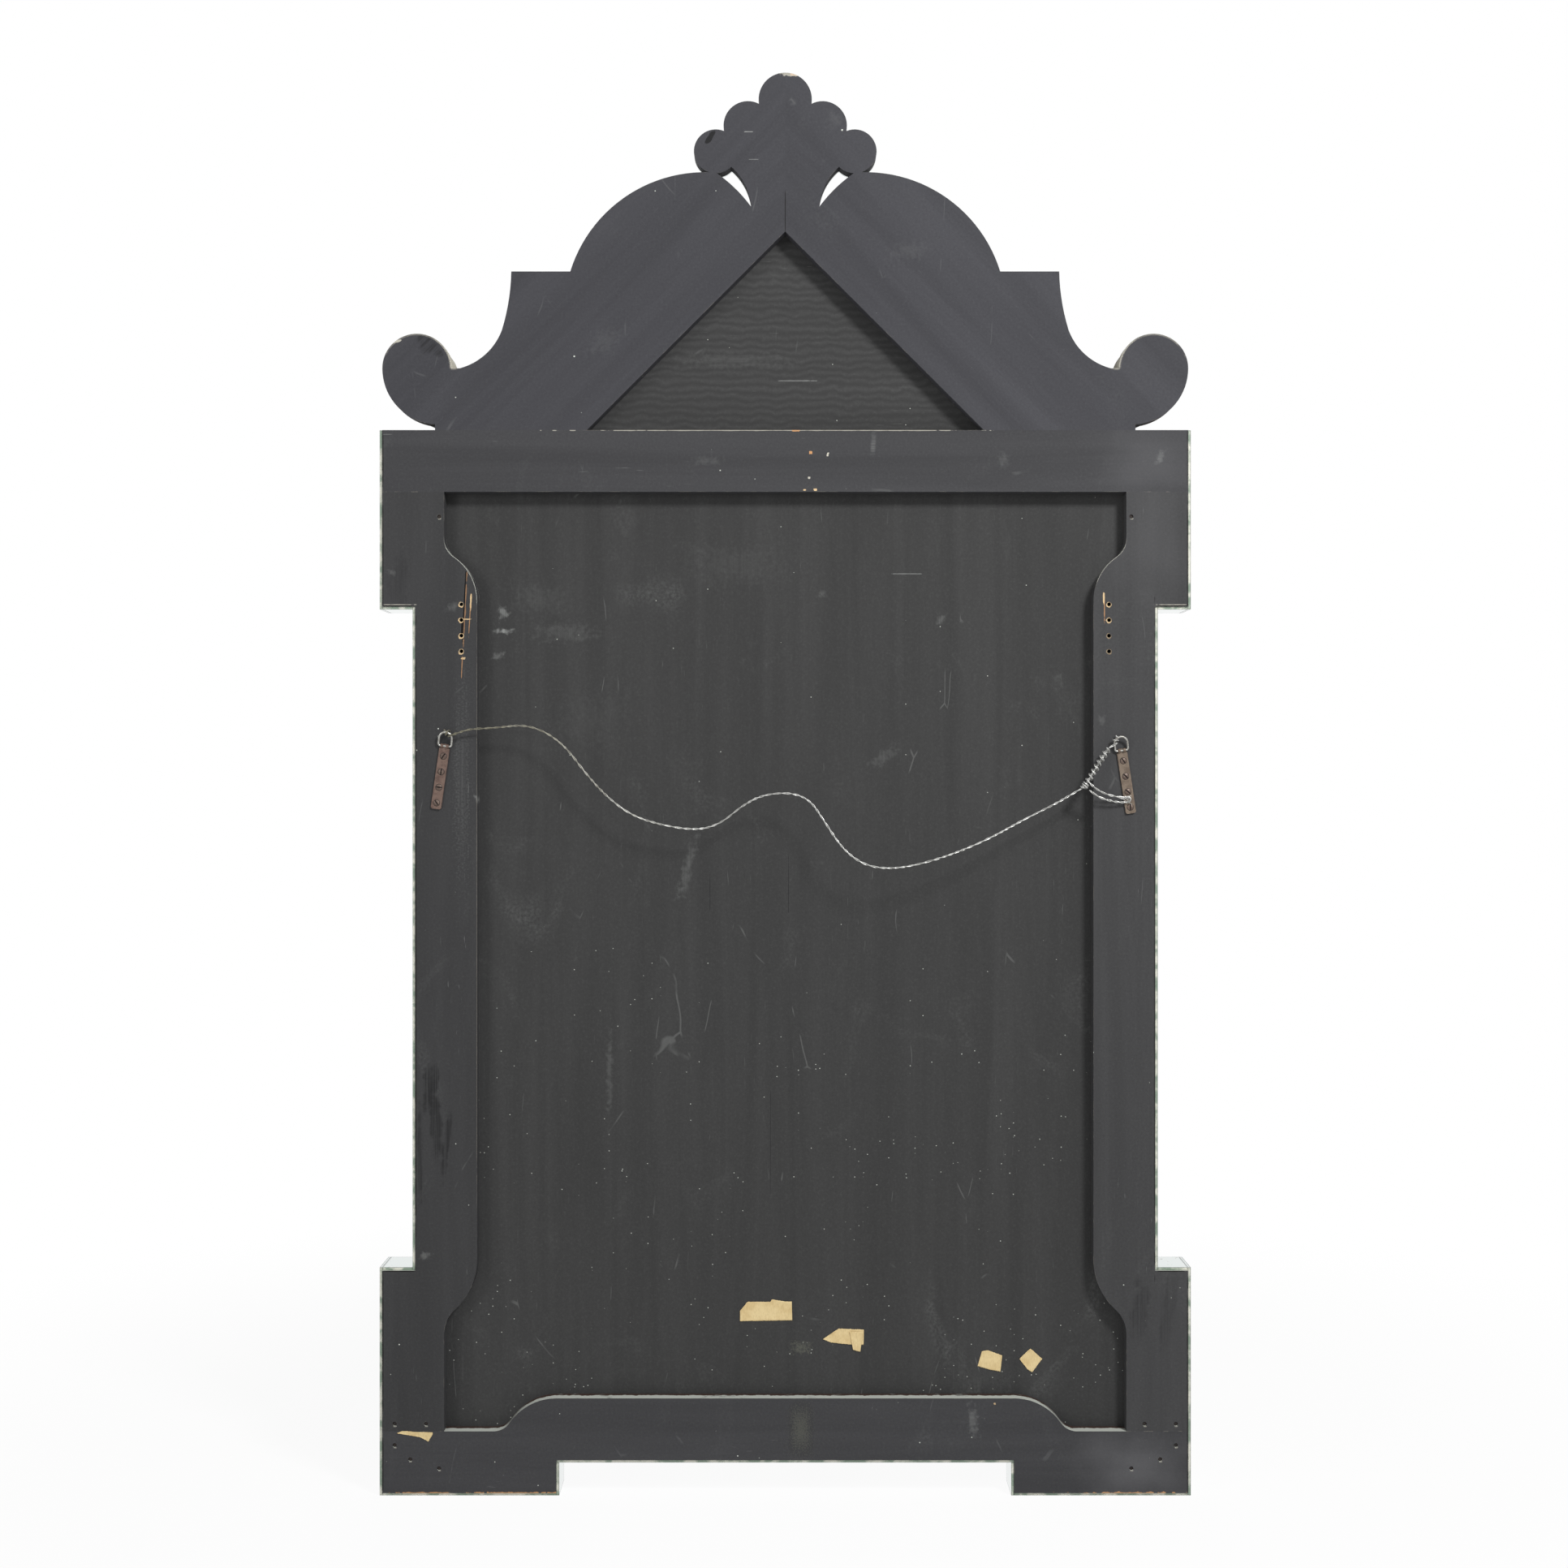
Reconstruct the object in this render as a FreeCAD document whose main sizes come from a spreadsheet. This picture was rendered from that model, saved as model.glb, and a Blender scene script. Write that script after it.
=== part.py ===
import FreeCAD, Part
import collections
import math
import os
import re
import Sketcher

# A wall mirror in the Venetian manner, as it hangs. X runs to the right as seen from the back,
# Y runs from the wall through the frame to the glass front, and Z runs up.
# The back boards' rear faces lie on Y = 0, and the origin is the middle of the bottom rail's rear face.

SIZES = {
    # Outline of the eared frame
    "frame_width": 978,
    "frame_height": 1290,
    "band": 75,
    "ear_projection": 40,
    "upper_ear_height": 214,
    "lower_ear_height": 270,
    "foot_length": 211,
    "foot_drop": 40,
    "upper_ogee_run": 76,
    "upper_ogee_hollow": 28,
    "upper_ogee_lift": 7,
    "lower_ogee_run": 90,
    "lower_ogee_hollow": 40,
    "lower_ogee_lift": 13,
    "rail_ogee_run": 76,
    "rail_ogee_hollow": 24,
    # Layers from the wall to the front
    "board_thickness": 19,
    "carcass_thickness": 34,
    "panel_thickness": 6,
    "mirror_thickness": 5,
    "plate_thickness": 4,
    "panel_lap": 15,
    "mirror_lap": 10,
    "rebate_clearance": 0.5,
    # Crest, in heights above the top rail, or above the triangle's apex for what stands over it
    "triangle_half_base": 241,
    "triangle_height": 241,
    "tympanum_lap": 20,
    "volute_radius": 42,
    "volute_up": 75,
    "volute_slit_in": 64,
    "volute_slit_up": 7,
    "volute_foot_radius": 68,
    "volute_ledge": 10,
    "core_inset": 12,
    "cavetto_low_radius": 75,
    "cavetto_mid_in": 145,
    "cavetto_mid_up": 121,
    "cavetto_high_radius": 258,
    "shoulder_in": 156.5,
    "shoulder_up": 192.5,
    "shoulder_length": 71.6,
    "arch_crown_out": 97.5,
    "arch_crown_rise": 72,
    "arch_end_out": 184.4,
    "arch_end_rise": -75,
    "arch_end_radius": 177.5,
    "neck_out": 113,
    "neck_rise": 24.5,
    "neck_radius": 72,
    "neck_bridge": 11,
    "low_lobe_out": 84.3,
    "low_lobe_rise": 97.3,
    "low_lobe_radius": 26.6,
    "side_lobe_out": 45.3,
    "side_lobe_rise": 128.6,
    "side_lobe_radius": 29.6,
    "top_lobe_rise": 160.5,
    "top_lobe_radius": 32.3,
    # Joinery
    "tenon_length": 30,
    "tenon_thickness": 12,
    "tenon_shoulder": 12,
    "tenon_clearance": 0.2,
    "dowel_radius": 4,
    "dowel_length": 50,
    "dowel_spacing": 16,
    "crest_dowel_radius": 5,
    "crest_dowel_length": 60,
    "crest_dowel_in": 34,
    "crest_dowel_spacing": 60,
    "seam_dowel_length": 40,
    "seam_dowel_rise": 49,
    "seam_dowel_spacing": 66,
    "dowel_fit": 0.1,
    "hole_end_room": 1,
    # Nails that hold the back boards to the carcass
    "nail_radius": 1.25,
    "nail_head_radius": 2.4,
    "nail_head_thickness": 1.2,
    "nail_length": 38,
    "nail_sink": 1.5,
    "nail_fit": 0.15,
    "nail_edge": 15,
    "stile_nail_in": 53,
    "stile_nail_up": 84,
    "rail_nail_up": 58,
    "middle_nail_in": 34,
    "middle_nail_up": 41,
    "inner_nail_in": 69,
    "inner_nail_up": 30,
    "ear_nail_in": 69,
    "ear_nail_down": 105,
    # Glass plates and strips
    "plate_gap": 0.4,
    "bevel_width": 14,
    "bevel_depth": 1.4,
    "strip_thickness": 3.5,
    "strip_setback": 2,
    # Glass rosettes and their screws
    "rosette_radius": 19,
    "rosette_height": 9,
    "rosette_rim": 3,
    "rosette_crown_radius": 30,
    "petal_count": 8,
    "petal_cut_radius": 4,
    "rosette_screw_radius": 2,
    "rosette_screw_length": 38,
    "finial_screw_length": 22,
    "rosette_head_radius": 5,
    "rosette_head_height": 3,
    "rosette_fit": 0.2,
    # Strap hangers, their screws and D-rings
    "left_hanger_in": 36.2,
    "left_hanger_down": 383.5,
    "left_hanger_tilt": 8.2,
    "right_hanger_in": 41,
    "right_hanger_down": 389,
    "right_hanger_tilt": 8.5,
    "strap_width": 12.5,
    "strap_length": 77,
    "strap_leaf": 1.2,
    "strap_corner": 2.5,
    "knuckle_width": 9.6,
    "knuckle_window": 3.6,
    "first_screw": 12.5,
    "screw_pitch": 19,
    "screw_count": 4,
    "screw_radius": 1.9,
    "screw_head_radius": 4.2,
    "screw_head_height": 2.4,
    "screw_length": 16,
    "screw_fit": 0.15,
    "old_hole_in": 56,
    "old_hole_down": 211.5,
    "old_hole_radius": 2,
    "old_hole_depth": 15,
    "ring_wire_radius": 1.3,
    "ring_fit": 0.06,
    "ring_half_width": 7.85,
    "ring_height": 17.3,
    "ring_corner": 2.6,
    "ring_lean": 14,
    # Hanging wire
    "wire_radius": 1.4,
    "lashing_gap": 0.35,
    "lashing_turns": 1.5,
    "lashing_advance": 41,
    "left_lashing_start": 104.5,
    "right_lashing_start": 118.5,
    "left_lead": 8,
    "right_lead": 6,
    "tail_lead": 7,
    "knot_clear": 8,
    "wrap_turns": 7,
    "wrap_pitch": 6.5,
    "wrap_gap": 0.45,
}

SIDES = {"left": -1, "right": 1}

doc = FreeCAD.newDocument("venetian_mirror")
sheet = doc.addObject("Spreadsheet::Sheet", "Sizes")
for row, (alias, size) in enumerate(SIZES.items(), start=1):
    sheet.set(f"A{row}", alias)
    sheet.set(f"B{row}", str(size))
    sheet.setAlias(f"B{row}", alias)
doc.recompute()

Vector = FreeCAD.Vector
subparts = []


def bound(text):
    """The expression with each size's name turned into its cell of the sheet."""
    return re.sub(r"[a-z][a-z_]+", lambda word: f"Sizes.{word[0]}" if word[0] in SIZES else word[0], text)


def value(text):
    """The number that an expression gives with the sheet's sizes."""
    return FreeCAD.Units.Quantity(sheet.evalExpression(bound(text))).Value


# Places that many pieces share, as expressions of the driving sizes
HALF = "(frame_width / 2)"
WAIST = f"({HALF} - ear_projection)"
EAR_IN = f"({HALF} - band)"
WAIST_IN = f"({WAIST} - band)"
FOOT_IN = f"({HALF} - foot_length)"
FEET = "(-(band / 2 + foot_drop))"
TOP = f"({FEET} + frame_height)"
TOP_JOINT = f"({TOP} - band)"
BOTTOM_JOINT = f"({FEET} + band)"
UPPER_EAR = f"({TOP} - upper_ear_height)"
LOWER_EAR = f"({FEET} + lower_ear_height)"
RAIL_TOP = "(band / 2)"
RAIL_FOOT = "(-band / 2)"
FRONT = "(board_thickness + carcass_thickness)"
GLASS_FRONT = f"({FRONT} + plate_thickness)"
KNUCKLE = "(ring_wire_radius + ring_fit + strap_leaf)"
NAIL_HOLE = "(nail_radius + nail_fit)"

# An arc runs from its corner to the next, about a centre or on a radius, turning 1 for left or -1 for right
Arc = collections.namedtuple("Arc", "turn radius centre", defaults=(None, None))


def mirrored(side, loop):
    """A loop drawn for the right side, or its mirror image for the left."""
    if side > 0:
        return loop

    def flip(x):
        return f"-({x})" if isinstance(x, str) else -x

    def flip_edge(edge):
        if edge is None:
            return None
        centre = edge.centre and (flip(edge.centre[0]), edge.centre[1])
        return Arc(-edge.turn, edge.radius, centre)

    return [(flip(x), z, flip_edge(edge)) for x, z, edge in loop]


def rectangle(x0, x1, z0, z1):
    """A loop of four straight sides."""
    return [(x0, z0, None), (x1, z0, None), (x1, z1, None), (x0, z1, None)]


def returning(loop):
    """The mirror image of a run of corners, followed back from its last corner to its first."""
    flipped = mirrored(-1, loop)
    edges = [edge and edge._replace(turn=-edge.turn) for x, z, edge in flipped]
    arriving = [None, *edges[:-1]]
    return [(x, z, edge) for (x, z, leaving), edge in zip(reversed(flipped), reversed(arriving))]


def rounds_at(places, radius):
    """A circle of one radius at each place."""
    return [(x, z, radius) for x, z in places]


def cap_radius(half_width, height):
    """The radius of a round that reaches this far to one side over this height."""
    return f"((({half_width}) ^ 2 + ({height}) ^ 2) / (2 * ({height})))"


def number(place):
    """A place as a number: an expression is worked out, and a free place's first guess is taken as it is."""
    return value(place) if isinstance(place, str) else place


def arc_curve(start, end, edge):
    """The circle's arc between two corners."""
    if edge.centre:
        centre = Vector(number(edge.centre[0]), number(edge.centre[1]), 0)
        radius = value(edge.radius) if edge.radius else (start - centre).Length
    else:
        radius = value(edge.radius)
        chord = end - start
        rise = math.sqrt(max(radius**2 - chord.Length**2 / 4, 0))
        centre = (start + end) / 2 + Vector(-chord.y, chord.x, 0).normalize() * (rise * edge.turn)
    first, last = (start, end) if edge.turn > 0 else (end, start)
    angles = [math.atan2(point.y - centre.y, point.x - centre.x) for point in (first, last)]
    if angles[1] <= angles[0]:
        angles[1] += 2 * math.pi
    return Part.ArcOfCircle(Part.Circle(centre, Vector(0, 0, 1), radius), *angles)


def draw(body, name, plane, level, loops=(), rounds=()):
    """A sketch of closed loops and circles on one of the body's own planes, moved out by level."""
    sketch = body.newObject("Sketcher::SketchObject", name)
    support = next(item for item in body.Origin.OriginFeatures if item.Role == plane)
    sketch.AttachmentSupport = [(support, "")]
    sketch.MapMode = "FlatFace"
    sketch.setExpression("AttachmentOffset.Base.z", bound(level))
    shapes = []
    constraints = []
    expressions = []

    def tie(kind, text, *ends):
        expressions.append((len(constraints), bound(text)))
        constraints.append(Sketcher.Constraint(kind, *ends, value(text)))

    for loop in loops:
        first_shape = len(shapes)
        corners = [Vector(number(x), number(z), 0) for x, z, edge in loop]
        ends = []
        for index, (x, z, edge) in enumerate(loop):
            start, end = corners[index], corners[(index + 1) % len(loop)]
            shapes.append(arc_curve(start, end, edge) if edge else Part.LineSegment(start, end))
            ends.append((2, 1) if edge and edge.turn < 0 else (1, 2))
        for index, (x, z, edge) in enumerate(loop):
            shape = first_shape + index
            following = (index + 1) % len(loop)
            near, far = ends[index]
            constraints.append(
                Sketcher.Constraint("Coincident", shape, far, first_shape + following, ends[following][0])
            )
            if isinstance(x, str):
                tie("DistanceX", x, -1, 1, shape, near)
            if isinstance(z, str):
                tie("DistanceY", z, -1, 1, shape, near)
            if edge and edge.radius:
                tie("Radius", edge.radius, shape)
            if edge and edge.centre:
                tie("DistanceX", edge.centre[0], -1, 1, shape, 3)
                tie("DistanceY", edge.centre[1], -1, 1, shape, 3)
    for x, z, radius in rounds:
        shape = len(shapes)
        shapes.append(Part.Circle(Vector(value(x), value(z), 0), Vector(0, 0, 1), value(radius)))
        tie("DistanceX", x, -1, 1, shape, 3)
        tie("DistanceY", z, -1, 1, shape, 3)
        tie("Radius", radius, shape)
    sketch.addGeometry(shapes, False)
    sketch.addConstraint(constraints)
    for index, text in expressions:
        sketch.setExpression(f"Constraints[{index}]", text)
    return sketch


def new_body(label):
    """An empty body that is one of the sub-parts."""
    body = doc.addObject("PartDesign::Body", label)
    body.Label = label
    subparts.append(body)
    return body


def pad(body, sketch, length, backwards=True, symmetric=False):
    """Thickens a sketch by length, towards the glass front where it lies on the upright plane."""
    feature = body.newObject("PartDesign::Pad", f"{sketch.Name}_pad")
    feature.Profile = sketch
    feature.setExpression("Length", bound(length))
    feature.Reversed = backwards
    feature.Midplane = symmetric
    return feature


def pocket(body, sketch, length, backwards=False, symmetric=False):
    """Cuts a sketch away by length, towards the glass front where it lies on the upright plane."""
    feature = body.newObject("PartDesign::Pocket", f"{sketch.Name}_cut")
    feature.Profile = sketch
    feature.setExpression("Length", bound(length))
    feature.Reversed = backwards
    feature.Midplane = symmetric
    return feature


def slab(label, depth, thickness, loops=(), rounds=()):
    """A flat piece: its outline at a depth from the wall plane, thickened towards the front."""
    body = new_body(label)
    pad(body, draw(body, f"{label}_outline", "XZ_Plane", f"-({depth})", loops, rounds), thickness)
    return body


def thicken(body, name, depth, thickness, loops=(), rounds=()):
    """Adds material to a flat piece between two depths."""
    pad(body, draw(body, f"{body.Label}_{name}", "XZ_Plane", f"-({depth})", loops, rounds), thickness)


def carve(body, name, depth, length, loops=(), rounds=()):
    """Cuts outlines or holes into a flat piece, from a depth towards the front."""
    pocket(body, draw(body, f"{body.Label}_{name}", "XZ_Plane", f"-({depth})", loops, rounds), length)


def ogee(name, start, end, rise):
    """The middle corner of a smooth curve that starts hollow and ends round, and its round's radius."""
    total = cap_radius(f"{name}_ogee_run", rise)
    share = f"({name}_ogee_hollow / {total})"
    middle = [f"({a}) + {share} * (({b}) - ({a}))" for a, b in zip(start, end)]
    return middle, f"{total} - {name}_ogee_hollow"


# Back boards: two stiles between two rails, butted and dowelled, with stepped ears outside and ogees inside


def dowel_places(side):
    """The two dowels in each butt joint of one side's stile, as distances across the frame."""
    middle = f"({HALF} + {EAR_IN}) / 2"
    return [f"{side} * ({middle} + {end} * dowel_spacing / 2)" for end in (-1, 1)]


def drill_dowels(body, joint, sides, upwards):
    """Blind dowel holes into a butt joint's face."""
    places = [(x, "board_thickness / 2", "dowel_radius") for s in sides for x in dowel_places(s)]
    sketch = draw(body, f"{body.Label}_dowel_holes", "XY_Plane", joint, rounds=places)
    pocket(body, sketch, "dowel_length / 2 + hole_end_room", backwards=upwards)


def nail_places(side, where):
    """The nails in one side's boards: those in the ear, the stile's foot or the rail's end."""
    places = {
        "ear": [("ear_nail_in", f"{TOP} - ear_nail_down")],
        "stile": [("nail_edge", f"{FEET} + stile_nail_up"), ("stile_nail_in", f"{FEET} + stile_nail_up")],
        "rail": [
            ("nail_edge", f"{FEET} + rail_nail_up"),
            ("middle_nail_in", f"{FEET} + middle_nail_up"),
            ("inner_nail_in", f"{FEET} + inner_nail_up"),
        ],
    }
    return [(f"{side} * ({HALF} - {inward})", up) for inward, up in places[where]]


def side_nails(side):
    """All the nails of one side."""
    return [place for where in ("ear", "stile", "rail") for place in nail_places(side, where)]


def drill_nails(body, places):
    """Nail holes through a back board, with a sunk seat for each head."""
    carve(body, "nail_holes", "0", "board_thickness", rounds=rounds_at(places, NAIL_HOLE))
    seats = rounds_at(places, "nail_head_radius + nail_fit")
    carve(body, "nail_seats", "0", "nail_sink + nail_head_thickness", rounds=seats)


def bar_place(name):
    """How far out and how high the bar of one side's D-ring lies."""
    return f"({WAIST} - {name}_hanger_in)", f"({TOP} - {name}_hanger_down)"


def hanger_hole_places(name, side):
    """The screw holes under one strap hanger, which leans towards the middle at its top."""
    out, up = bar_place(name)
    tilt = f"({name}_hanger_tilt * 1 deg)"
    places = []
    for count in range(SIZES["screw_count"]):
        along = f"(first_screw + {count} * screw_pitch)"
        places.append((f"{side} * ({out} + {along} * sin({tilt}))", f"{up} - {along} * cos({tilt})"))
    return places


def old_hole_places(side):
    """The empty screw holes that an earlier hanger left above the present one."""
    out, up = f"({WAIST} - old_hole_in)", f"({TOP} - old_hole_down)"
    return [(f"{side} * {out}", f"{up} - {count} * screw_pitch") for count in range(SIZES["screw_count"])]


top_rail = slab("top_rail", "0", "board_thickness", [rectangle(f"-{HALF}", HALF, TOP_JOINT, TOP)])
drill_dowels(top_rail, TOP_JOINT, (-1, 1), upwards=True)

OGEE_FOOT = f"({FOOT_IN} + rail_ogee_run)"
rail_middle, rail_round = ogee("rail", (OGEE_FOOT, BOTTOM_JOINT), (FOOT_IN, RAIL_TOP), "foot_drop")
rail_right = [
    (FOOT_IN, RAIL_FOOT, None),
    (FOOT_IN, FEET, None),
    (HALF, FEET, None),
    (HALF, BOTTOM_JOINT, None),
    (OGEE_FOOT, BOTTOM_JOINT, Arc(-1, "rail_ogee_hollow")),
    (*rail_middle, Arc(1, rail_round)),
    (FOOT_IN, RAIL_TOP, None),
]
bottom_rail = slab("bottom_rail", "0", "board_thickness", [rail_right + returning(rail_right)])
drill_dowels(bottom_rail, BOTTOM_JOINT, (-1, 1), upwards=False)
drill_nails(bottom_rail, nail_places(-1, "rail") + nail_places(1, "rail"))

HIGH_WAIST = f"({UPPER_EAR} + upper_ogee_lift)"
LOW_WAIST = f"({LOWER_EAR} + lower_ogee_lift)"
HIGH_EAR = f"({HIGH_WAIST} + upper_ogee_run)"
LOW_EAR = f"({LOW_WAIST} - lower_ogee_run)"
high_middle, high_round = ogee("upper", (EAR_IN, HIGH_EAR), (WAIST_IN, HIGH_WAIST), "ear_projection")
low_middle, low_round = ogee("lower", (EAR_IN, LOW_EAR), (WAIST_IN, LOW_WAIST), "ear_projection")
stile_loop = [
    (EAR_IN, BOTTOM_JOINT, None),
    (HALF, BOTTOM_JOINT, None),
    (HALF, LOWER_EAR, None),
    (WAIST, LOWER_EAR, None),
    (WAIST, UPPER_EAR, None),
    (HALF, UPPER_EAR, None),
    (HALF, TOP_JOINT, None),
    (EAR_IN, TOP_JOINT, None),
    (EAR_IN, HIGH_EAR, Arc(-1, "upper_ogee_hollow")),
    (*high_middle, Arc(1, high_round)),
    (WAIST_IN, HIGH_WAIST, None),
    (WAIST_IN, LOW_WAIST, Arc(1, low_round)),
    (*low_middle, Arc(-1, "lower_ogee_hollow")),
    (EAR_IN, LOW_EAR, None),
]
for name, side in SIDES.items():
    stile = slab(f"{name}_stile", "0", "board_thickness", [mirrored(side, stile_loop)])
    drill_nails(stile, nail_places(side, "ear") + nail_places(side, "stile"))
    for joint, upwards in ((TOP_JOINT, False), (BOTTOM_JOINT, True)):
        drill_dowels(stile, joint, (side,), upwards)
    screw_holes = rounds_at(hanger_hole_places(name, side), "screw_radius + screw_fit")
    carve(stile, "screw_holes", "0", "screw_length + hole_end_room", rounds=screw_holes)
    old_holes = rounds_at(old_hole_places(side), "old_hole_radius")
    carve(stile, "old_holes", "0", "old_hole_depth", rounds=old_holes)

# Crest: two boards leaning together over a triangular opening, each with a volute, a shoulder, an arch and
# half of the five-lobed finial, pierced by a slot beside the finial's neck. No core thickens the finial


# A circle of the crest's outline
Round = collections.namedtuple("Round", "out up radius")


def crest(place):
    """A height above the top rail."""
    return f"({TOP} + ({place}))"


def apex(place):
    """A height above the triangle's apex."""
    return crest(f"triangle_height + ({place})")


SHOULDER = crest("shoulder_up")
ARCH_FOOT = f"({HALF} - shoulder_in - shoulder_length)"
ARCH_CROWN = apex("arch_crown_rise")
ARCH_RADIUS = cap_radius(f"{ARCH_FOOT} - arch_crown_out", f"{ARCH_CROWN} - {SHOULDER}")
ARCH = Round("arch_crown_out", f"{ARCH_CROWN} - {ARCH_RADIUS}", ARCH_RADIUS)
ARCH_END = Round("arch_end_out", apex("arch_end_rise"), "arch_end_radius")
NECK = Round("neck_out", apex("neck_rise"), "neck_radius")
LOW_LOBE = Round("low_lobe_out", apex("low_lobe_rise"), "low_lobe_radius")
SIDE_LOBE = Round("side_lobe_out", apex("side_lobe_rise"), "side_lobe_radius")
TOP_LOBE = Round("0", apex("top_lobe_rise"), "top_lobe_radius")


def arc_of(circle, turn):
    """An edge that follows a circle of the crest."""
    return Arc(turn, circle.radius, (circle.out, circle.up))


def meeting(first, second, pick):
    """Where two circles meet: the crossing that pick, such as max or min, chooses by its distance out."""
    a, b = (Vector(value(circle.out), value(circle.up), 0) for circle in (first, second))
    span = (b - a).Length
    along = (span**2 + value(first.radius) ** 2 - value(second.radius) ** 2) / (2 * span)
    across = math.sqrt(value(first.radius) ** 2 - along**2)
    line = (b - a) / span
    crossings = [a + line * along + Vector(-line.y, line.x, 0) * (sign * across) for sign in (-1, 1)]
    chosen = pick(crossings, key=lambda point: point.x)
    return chosen.x, chosen.y


def on_circle(circle, height, side):
    """The distance out of a circle's point at a height, on its inner (-1) or outer (1) side."""
    drop = value(height) - value(circle.up)
    return value(circle.out) + side * math.sqrt(value(circle.radius) ** 2 - drop**2)


def crest_flank(lap, inset="0"):
    """The crest's outline from the apex down the triangle, along the foot and up to the shoulder. An inset
    draws in the volute's outer side, and leaves its inner side where it is."""
    volute_eye = (f"{HALF} - volute_radius - {inset} / 2", crest("volute_up"))
    slit_end = f"{HALF} - volute_slit_in - {inset}"
    return [
        ("0", apex(lap), None),
        (f"triangle_half_base + {lap}", TOP, None),
        (slit_end, TOP, None),
        (slit_end, crest("volute_slit_up"), Arc(1, "volute_foot_radius")),
        (f"{HALF} - {inset}", crest("volute_up"), Arc(1, None, volute_eye)),
        (value(f"{HALF} - 2 * volute_radius"), crest("volute_up"), None),
        (f"{HALF} - 2 * volute_radius - volute_ledge", crest("volute_up"), Arc(-1, "cavetto_low_radius")),
        (f"{HALF} - cavetto_mid_in", crest("cavetto_mid_up"), Arc(-1, "cavetto_high_radius")),
        (f"{HALF} - shoulder_in", SHOULDER, None),
        (ARCH_FOOT, SHOULDER, Arc(1, None, (ARCH.out, ARCH.up))),
    ]


def crest_loops(side):
    """The outline of one crest board and the slot that pierces it."""
    outline = crest_flank("0") + [
        (*meeting(ARCH, LOW_LOBE, max), arc_of(LOW_LOBE, 1)),
        (*meeting(LOW_LOBE, SIDE_LOBE, max), arc_of(SIDE_LOBE, 1)),
        (*meeting(SIDE_LOBE, TOP_LOBE, max), arc_of(TOP_LOBE, 1)),
        ("0", value(f"{TOP_LOBE.up} + {TOP_LOBE.radius}"), None),
    ]
    slot = [
        (*meeting(NECK, ARCH_END, min), arc_of(ARCH_END, -1)),
        (*meeting(ARCH_END, LOW_LOBE, min), arc_of(LOW_LOBE, -1)),
        (*meeting(LOW_LOBE, NECK, min), arc_of(NECK, 1)),
    ]
    return [mirrored(side, outline), mirrored(side, slot)]


def seam_dowel_places():
    """The two dowels across the seam between the crest boards."""
    heights = ("seam_dowel_rise", "seam_dowel_rise + seam_dowel_spacing")
    return [("board_thickness / 2", apex(height)) for height in heights]


FINIAL_ROSETTE = (TOP_LOBE.out, TOP_LOBE.up)
ROSETTE_HOLE = "(rosette_screw_radius + rosette_fit)"


def drill_rosettes(body, places, face=FRONT, length="rosette_screw_length"):
    """Blind holes for rosette screws in wood whose glass lies on a face."""
    depth = f"({face} + plate_thickness + rosette_height - {length} - hole_end_room)"
    carve(body, "rosette_holes", depth, f"{face} - {depth}", rounds=rounds_at(places, ROSETTE_HOLE))


for name, side in SIDES.items():
    board = slab(f"{name}_crest_board", "0", "board_thickness", crest_loops(side))
    drill_rosettes(board, [FINIAL_ROSETTE], "board_thickness", "finial_screw_length")
    holes = rounds_at(seam_dowel_places(), "dowel_radius")
    sketch = draw(board, f"{name}_seam_holes", "YZ_Plane", "0", rounds=holes)
    pocket(board, sketch, "seam_dowel_length + 2 * hole_end_room", symmetric=True)

# Panels that close the back: a sheet behind the mirror and a triangle in the crest

PANEL_OUT = f"({EAR_IN} + panel_lap)"
PANEL_FOOT = f"({BOTTOM_JOINT} - panel_lap)"
PANEL_TOP = f"({TOP_JOINT} + panel_lap)"
panel_loop = rectangle(f"-{PANEL_OUT}", PANEL_OUT, PANEL_FOOT, PANEL_TOP)
back_panel = slab("back_panel", "board_thickness", "panel_thickness", [panel_loop])
ear_nails = rounds_at(nail_places(-1, "ear") + nail_places(1, "ear"), NAIL_HOLE)
carve(back_panel, "nail_holes", "board_thickness", "panel_thickness", rounds=ear_nails)


def triangle(lap):
    """The crest opening's triangle, widened by a lap all along its slopes."""
    return [
        (f"-(triangle_half_base + {lap})", TOP, None),
        (f"triangle_half_base + {lap}", TOP, None),
        ("0", apex(lap), None),
    ]


slab("tympanum_panel", "board_thickness", "panel_thickness", [triangle("tympanum_lap - rebate_clearance")])

# Front carcass: full-height stiles mortised for two rails, blocks that fill the feet, and the crest's cores

TENON_DEPTH = "(board_thickness + (carcass_thickness - tenon_thickness) / 2)"
MIRROR_OUT = f"({WAIST_IN} + mirror_lap)"
MIRROR_FOOT = f"({RAIL_TOP} - mirror_lap)"
MIRROR_TOP = f"({TOP_JOINT} + mirror_lap)"


def rebate(body):
    """Cuts the seats of the back panel and of the mirror plate into a carcass member."""
    panel_seat = rectangle(
        f"-({PANEL_OUT} + rebate_clearance)",
        f"{PANEL_OUT} + rebate_clearance",
        f"{PANEL_FOOT} - rebate_clearance",
        f"{PANEL_TOP} + rebate_clearance",
    )
    carve(body, "panel_seat", "board_thickness", "panel_thickness", [panel_seat])
    mirror_seat = rectangle(
        f"-({MIRROR_OUT} + rebate_clearance)",
        f"{MIRROR_OUT} + rebate_clearance",
        f"{MIRROR_FOOT} - rebate_clearance",
        f"{MIRROR_TOP} + rebate_clearance",
    )
    carve(body, "mirror_seat", f"{FRONT} - mirror_thickness", "mirror_thickness", [mirror_seat])


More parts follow.
